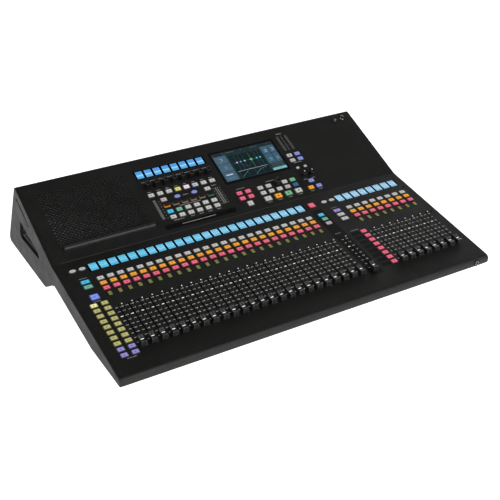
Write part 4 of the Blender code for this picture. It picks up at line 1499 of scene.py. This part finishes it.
def add_knob(node, side, tip, teeth=18, points=72, pointer=None):
    """A turned knob with a ribbed side, a rim ring painted lighter as a highlight, and a dished top,
    on its shaft.
    """
    edit = bmesh.new()
    rings = turn_rings(((0.003, -0.0085), (0.003, 0.0008)), points)
    loft(edit, rings + turn_rings((*side, *tip), points, teeth=teeth))
    radius, top, _ = (*side, *tip)[-4]
    collar(edit, 0, 0, radius + 0.0002, radius - 0.0005, top - 0.001, top + 0.00015, 2, 0.0001)
    if pointer:
        radius, top = pointer
        mark = rectangle(0, radius * 0.52, (0.0009, radius * 0.62))
        prism(edit, mark, top - 0.0004, top + 0.00012, 1)
    looks = (KNOB_RUBBER, BRIGHT_PRINT, KNOB_RIM_HIGHLIGHT)
    piece(node + "_knob", edit, looks, plane_matrix(*pivot(node)), "knob_plastic", node, [node], 40)


for n in range(8):
    add_knob(f"fat_encoder_{n + 1}", (
        (0.006, 0.0006, 0.0), (0.006, 0.0022, 0.0003), (0.0058, 0.0148, 0.0003),
        (0.0055, 0.0161, 0.0001),
    ), ((0.005, 0.0167, 0.0), (0.0042, 0.0166, 0.0), (0.0032, 0.016, 0.0), (0.001, 0.0158, 0.0)))
add_knob("value_encoder", (
    (0.0078, 0.001, 0.0), (0.0078, 0.002, 0.0004), (0.0075, 0.0128, 0.0004),
    (0.0071, 0.0142, 0.0001),
), (
    (0.0064, 0.0149, 0.0), (0.0054, 0.0148, 0.0), (0.004, 0.014, 0.0), (0.0012, 0.0137, 0.0),
), 24, 96)
for name in LEVEL_KNOBS:
    add_knob(name, (
        (0.0062, 0.001, 0.0), (0.0062, 0.003, 0.0), (0.0058, 0.0034, 0.0002),
        (0.0053, 0.0132, 0.0002),
    ), ((0.0048, 0.0141, 0.0), (0.004, 0.0144, 0.0), (0.001, 0.0143, 0.0)), pointer=(0.005, 0.0144))


# The touchscreen


PICTURE_LOOKS = [
    lit_paint(f"picture_{n}", colour, 0.95) for n, colour in enumerate(PICTURE_COLOURS.values())
]


@drawn(PICTURE_LOOKS, SCREEN_PLANE)
def screen_picture(edit):
    """What the touchscreen shows: a few tiles, graphs and dots, all of them generic."""

    def lay(outline, colour, lift):
        prism(edit, outline, PICTURE, PICTURE + lift * INK, list(PICTURE_COLOURS).index(colour))

    def tile(left, right, front, rear, colour, radius=0.0005, lift=2):
        lay(block(left, right, front * PITCH, rear * PITCH, radius), colour, lift)

    def line(path, width, colour):
        lay(stroke([(column(x), row * PITCH) for x, row in path], width), colour, 3)

    def dot(x, row, size, colour, lift=3):
        lay(oval(column(x), row * PITCH, (size, size), 20), colour, lift)

    def ring(x, row, size, width, colour):
        outer = oval(0, 0, (size / PITCH, size / PITCH), 28)
        for k in range(-11, 11):
            line([(x + outer[k + i][0], row + outer[k + i][1]) for i in range(2)], width, colour)

    tile(17.5, 25.03, 4.48, 8.62, "ground", 0.0002, 1)
    tile(17.5, 25.03, 8.2, 8.62, "bar", 0.0002)
    for row, far in ((7.05, 8.15), (5.85, 7.0), (4.55, 5.8)):
        tile(17.55, 19.05, row, far, "left")
    for row in (7.34, 7.86, 6.22, 6.68):
        line([(17.68, row), (18.92, row)], 0.0004, "tick")
    ring(18.3, 7.6, 0.006, 0.0008, "white")
    ring(18.3, 6.43, 0.006, 0.0008, "band")
    tile(17.85, 18.65, 5.32, 5.48, "white", 0.0002, 3)
    line([(17.8, 4.9), (18.8, 4.9)], 0.0005, "band")
    tile(19.25, 23.1, 4.55, 8.1, "deep", 0.0004)
    for n in range(26):
        x = 19.38 + 0.14 * n
        line([(x, 7.9), (x, 8.02 if n % 5 else 8.1)], 0.0003, "tick")
    for x, size, colour in (
        (19.85, 0.0042, "lilac"), (20.3, 0.0036, "cyan"), (20.8, 0.004, "white"),
        (21.6, 0.0064, "green"), (22.3, 0.004, "cyan"), (22.72, 0.004, "cyan"),
    ):
        line([(x, 5.6), (x, 7.8)], 0.0003, "green" if colour == "green" else "grid")
        dot(x, 6.78, size, colour, 4)
    line([(19.35, 6.78), (23.0, 6.78)], 0.0004, "grid")
    line([(19.35, 5.52), (23.0, 5.52)], 0.0007, "white")
    curve = [(19.4 + 0.15 * n, 6.35 + 0.36 * math.sin(0.42 * n + 0.6)) for n in range(24)]
    line(curve, 0.0003, "grid")
    line([(19.5, 4.65), (20.5, 5.35)], 0.0004, "band")
    line([(21.2, 4.65), (22.0, 5.2), (22.8, 5.35)], 0.0004, "band")
    for n in range(4):
        line([(19.45 + 0.92 * n, 4.62), (19.45 + 0.92 * n, 5.42)], 0.0003, "grid")
    for row, far in ((7.02, 8.12), (5.6, 6.95)):
        tile(23.3, 24.2, row, far, "right")
        tile(24.28, 24.98, row, far, "right")
    for x, row in ((23.75, 7.45), (24.63, 7.5), (23.75, 6.15), (24.63, 6.15)):
        ring(x, row, 0.007, 0.0008, "white" if row > 7 else "band")
        line([(x, row), (x + 0.1, row + 0.12)], 0.0006, "white")
    for row in (4.98, 5.16, 5.34, 5.5):
        line([(23.4, row), (24.85, row)], 0.0005, "tick")
    tile(23.3, 24.98, 4.52, 4.86, "band", 0.0004)
    draws = random.Random(3)
    for x, size in ((17.65, 0.0014), (21.1, 0.0016), (24.4, 0.0016)):
        dot(x, 8.41, size, "tick")
    ring(18.85, 8.41, 0.0036, 0.0005, "tick")
    top = PICTURE + 3 * INK
    for x, row, width in ((19.7, 8.41, 0.022), (22.6, 8.41, 0.016), (18.3, 7.12, 0.014)):
        words(edit, column(x), row * PITCH, width, 0.0009, draws, PICTURE, top, 11)


# Screws and sockets


def screw(edit, x, y, sink=0.0):
    """A domed socket screw."""
    dome = (
        (0.0026, -0.001), (0.0026, 0.0003), (0.0024, 0.0007), (0.0019, 0.0011), (0.0014, 0.0012),
        (0.0011, 0.0012), (0.001, 0.0003),
    )
    turned(edit, [(radius, z - sink) for radius, z in dome], 24, (x, y))


@drawn(SCREW_STEEL, FADER_PLANE, "plated_steel")
def fader_panel_screws(edit):
    for steps in (-2.9, 35.9):
        for row in (-2.58, -7.47, -12.52):
            screw(edit, column(steps), row * PITCH)


@drawn(SCREW_STEEL, SCREEN_PLANE, "plated_steel")
def screen_panel_screws(edit):
    for steps in (-2.9, 35.9):
        for row in (2.76, 7.68):
            screw(edit, column(steps), row * PITCH)


@drawn(SOCKET_LOOKS, SCREEN_PLANE, "plated_steel")
def lamp_sockets(edit):
    """The talkback microphone and the lamp socket with its four contacts, at the rear right."""
    for steps, row, outer, inner in ((34.2, 9.4, 0.0052, 0.0034), (35.25, 9.55, 0.0088, 0.0066)):
        x, y = column(steps), row * PITCH
        collar(edit, x, y, outer, inner, -0.0004, 0.0012)
        collar(edit, x, y, inner, inner - 0.0007, -0.0004, 0.0017, 3)
        cup(edit, x, y, inner, -0.0004, 0.0002, 1)
    for spot in round_points(4, 45, x, y, 0.0034):
        turned(edit, ((0.0007, 0.0001), (0.0007, 0.001), (0.0004, 0.0013)), 12, spot, 2)


@drawn(SOCKET_LOOKS, LIP_PLANE, "plated_steel")
def phones_socket(edit):
    x, y = column(35.0), -0.0082
    collar(edit, x, y, 0.0074, 0.0044, -0.0004, 0.0013, 1)
    collar(edit, x, y, 0.0045, 0.0036, -0.0004, 0.0016, 3)
    cup(edit, x, y, 0.0037, -0.0004, 0.0002, 1)


REAR = -0.0006  # the rear panel's face
REAR_LEFT, SOCKET_STEP = 0.375, 0.0262
FLANGE = (0.025, 0.029)
DATA_ROW = -0.022


def rear_plate(edit, x, y, size, height, radius, edge=0.0004, look=0):
    soft_slab(edit, x, y, size, REAR, REAR + height, radius, edge, look)


def xlr(edit, x, y, pins):
    """A panel connector on a square flange: three contacts, as holes or as pins."""
    rear_plate(edit, x, y, FLANGE, 0.0013, 0.003)
    collar(edit, x, y, 0.0112, 0.0096, REAR, REAR + 0.0026)
    top = REAR + (0.0016 if pins else 0.0022)
    cup(edit, x, y, 0.0096, REAR, top, 1)
    pin = ((0.0012, REAR), (0.0012, top + 0.0016), (0.0007, top + 0.002))
    hole = ((0.0015, REAR), (0.0015, top + 0.00008))
    # A socket's holes are near-black discs, painted shade for their depth; a plug's pins are gold.
    for spot in round_points(3, -90, x, y, 0.0046):
        turned(edit, pin if pins else hole, 12, spot, 3 if pins else 2)
    if not pins:
        rear_plate(edit, x, y + 0.0112, (0.007, 0.0038), 0.003, 0.0008, look=1)
    head = ((0.0019, REAR), (0.0019, REAR + 0.0018), (0.0012, REAR + 0.0021))
    for side in (-1, 1):
        turned(edit, head, 14, (x + side * 0.0098, y + side * 0.0118))


@drawn(REAR_LOOKS, REAR_PLANE, "plated_steel")
def rear_inputs(edit):
    for n in range(32):
        xlr(edit, REAR_LEFT - SOCKET_STEP * (n % 16), 0.064 - 0.034 * (n // 16), False)


@drawn(REAR_LOOKS, REAR_PLANE, "plated_steel")
def rear_outputs(edit):
    for n in range(16):
        xlr(edit, -0.072 - SOCKET_STEP * (n % 8), 0.064 - 0.034 * (n // 8), True)


@drawn(REAR_LOOKS, REAR_PLANE, "plated_steel")
def rear_jacks(edit):
    for n in range(12):
        x, y = REAR_LEFT - 0.0225 * (n % 6), -0.01 - 0.024 * (n // 6)
        rear_plate(edit, x, y, (0.015, 0.018), 0.001, 0.002, 0.0003, 1)
        collar(edit, x, y, 0.0062, 0.0036, REAR, REAR + 0.0034)
        cup(edit, x, y, 0.0036, REAR, REAR + 0.0012, 2)


@drawn(REAR_LOOKS, REAR_PLANE, "plated_steel")
def rear_data_ports(edit):
    """Four network ports with eight contacts each, and two small data ports."""
    for n in range(4):
        x, y = 0.15 - 0.03 * n, DATA_ROW
        rear_plate(edit, x, y, FLANGE, 0.0013, 0.003)
        rear_plate(edit, x, y, (0.016, 0.014), 0.0022, 0.001, 0.0003, 1)
        # The port's opening is a near-black plate: painted shade.
        rear_plate(edit, x, y - 0.0005, (0.012, 0.0086), 0.00232, 0.0004, 0.0001, 2)
        for k in range(8):
            contact = rectangle(x - 0.004 + 0.00114 * k, y + 0.0022, (0.0005, 0.003))
            prism(edit, contact, REAR, REAR + 0.0024, 3)
    for n in range(2):
        x, y = 0.02 - 0.024 * n, DATA_ROW
        rear_plate(edit, x, y, (0.015, 0.014), 0.0012, 0.001, 0.0003)
        # The port's opening is a near-black plate: painted shade.
        rear_plate(edit, x, y, (0.0122, 0.011), 0.0013, 0.0006, 0.0001, 2)
        rear_plate(edit, x, y + 0.0012, (0.008, 0.003), 0.0017, 0.0003, 0.0001, 1)


@drawn(REAR_LOOKS, REAR_PLANE)
def power_inlet(edit):
    x = -0.345
    rear_plate(edit, x, DATA_ROW, (0.03, 0.027), 0.0022, 0.003, 0.0006, 1)
    # The inlet's recess is a near-black plate: painted shade.
    rear_plate(edit, x, DATA_ROW, (0.0235, 0.0165), 0.00228, 0.003, 0.0001, 2)
    for across_it, up in ((-0.007, -0.002), (0.0, 0.002), (0.007, -0.002)):
        blade = rectangle(x + across_it, DATA_ROW + up, (0.002, 0.005))
        prism(edit, blade, REAR, REAR + 0.003, 3)


@drawn(REAR_LOOKS, REAR_PLANE)
def rear_vent(edit):
    # The vent's slots are near-black sheets: painted shade where they open into the console.
    for n in range(22):
        slot = soft_rectangle(-0.1 - 0.0085 * n, DATA_ROW, (0.0032, 0.022), 0.0016)
        prism(edit, slot, REAR - 0.0001, REAR + 0.00012, 2)


@drawn(SCREW_STEEL, REAR_PLANE, "plated_steel")
def rear_screws(edit):
    for n in range(9):
        for y in (-0.072, 0.083):
            screw(edit, -0.392 + 0.098 * n, y, 0.0006)


SWITCH_SPOT = REAR_PLANE.inverted() @ pivot("power_switch")[0]
SWITCH_PLANE = (
    REAR_PLANE
    @ Matrix.Translation((SWITCH_SPOT.x, SWITCH_SPOT.y, 0))
    @ Matrix.Rotation(math.radians(-8), 4, "X")
)


@drawn(
    (SOCKET_PLASTIC, BRIGHT_PRINT), SWITCH_PLANE, "cap_plastic", body="power_switch",
    instead_of=["power_switch"],
)
def power_switch_rocker(edit):
    """The mains rocker, with a mark on its upper half."""
    sections = (
        (-0.0075, 0.011, 0.013), (0.001, 0.013, 0.02), (0.002, 0.0128, 0.016),
        (0.0025, 0.0122, 0.0116),
    )
    loft(edit, [level(soft_rectangle(0, 0, (w, d), 0.001), z) for z, w, d in sections])
    prism(edit, rectangle(0, 0.0042, (0.0008, 0.0032)), 0.0018, 0.00262, 1)


@drawn(FOOT_RUBBER)
def rubber_feet(edit):
    """Rubber sleeves on the six pads of the base pan."""
    pads = []
    for spot in [v.co for v in frame["nodes"]["base_pan"].data.vertices if v.co.z < 1e-5]:
        near = next((pad for pad in pads if (pad[0] - spot).length < 0.03), None)
        if near:
            near.append(spot)
        else:
            pads.append([spot])
    profile = ((0.0104, 0.0), (0.0112, 0.0003), (0.0114, 0.0012), (0.0114, 0.0016))
    for pad in pads:
        centre = [(min(c[i] for c in pad) + max(c[i] for c in pad)) / 2 for i in range(2)]
        turned(edit, profile, 40, centre)


for node, look in (
    ("base_pan", PAN_PAINT), ("rear_panel", PAINT), ("fader_bank", STEEL), ("main_board", BOARD),
    ("power_supply", STEEL), ("touchscreen", GLASS),
):
    frame["nodes"][node].data.materials.clear()
    frame["nodes"][node].data.materials.append(look)


# The studio


FLOOR_GLOW = 0.55
PANELS = (  # soft panels round the table: the way to each, how tight it is, and its strength
    ((0.0, -1.0, 0.12), 12, 3.6),
    ((0.7, 0.7, 0.12), 16, 2.4),
    ((-0.85, 0.0, 0.5), 10, 0.55),
)
SUNS = (  # the way to each wide, soft light, and its strength
    ("front_light", (0.43, -0.62, 0.62), 0.62),
    ("left_light", (-0.78, -0.30, 0.55), 0.62),
)


def add_floor():
    """A white table that also glows, more to the camera than to the console."""
    edit = bmesh.new()
    edit.faces.new([edit.verts.new(point) for point in level(oval(0, 0, (60, 60), 64), 0)])
    floor = shown("floor", made("floor", edit))
    look = Look("floor_paper")
    floor.data.materials.append(look.set(
        base_color=look.mix(look.noise(1.5), (0.88, 0.88, 0.875, 1.0), grey(0.91)),
        roughness=0.9,
        normal=look.bump(look.noise(400), 0.00005),
        emission_color=(1.0, 1.0, 0.995, 1.0),
        emission_strength=look.spread(look.seen(), 0.0, 1.0, FLOOR_GLOW, FLOOR_GLOW + 0.5),
    ))


def add_world():
    """Soft light panels low around the table, nothing bright overhead, and white to the camera."""
    world = bpy.data.worlds.new("studio")
    bpy.context.scene.world = world
    world.use_nodes = True
    background = world.node_tree.nodes["Background"]
    background.inputs["Color"].default_value = grey(1.0)
    sky = Nodes(world.node_tree)
    toward = sky.node("TexCoord").outputs["Generated"]
    light = 0.0
    for way, tightness, strength in PANELS:
        facing = sky.sum("MAXIMUM", sky.dot(toward, Vector(way).normalized()), 0.0)
        spot = sky.sum("MULTIPLY", sky.sum("POWER", facing, float(tightness)), strength)
        light = sky.sum("ADD", light, spot)
    sky.feed(background.inputs["Strength"], sky.sum("MAXIMUM", light, sky.seen()))


def add_lights():
    for name, way, strength in SUNS:
        sun = bpy.data.lights.new(name, "SUN")
        sun.angle = math.radians(40)
        sun.energy = strength
        shown(name, sun).rotation_euler = Vector(way).to_track_quat("Z", "Y").to_euler()


def add_camera():
    forward = Vector((0.427, 0.7652, -0.4818)).normalized()
    right = Vector((0.8678, -0.4965, -0.0195)).normalized()
    turn = Matrix((right, right.cross(forward), -forward)).transposed().to_4x4()
    data = bpy.data.cameras.new("camera")
    data.lens = 66.4
    data.sensor_width = 36
    camera = shown("camera", data)
    camera.matrix_world = Matrix.Translation((-0.8306, -1.5255, 0.9582)) @ turn
    bpy.context.scene.camera = camera


bpy.context.scene.view_settings.view_transform = "Standard"
add_floor()
add_world()
add_lights()
add_camera()
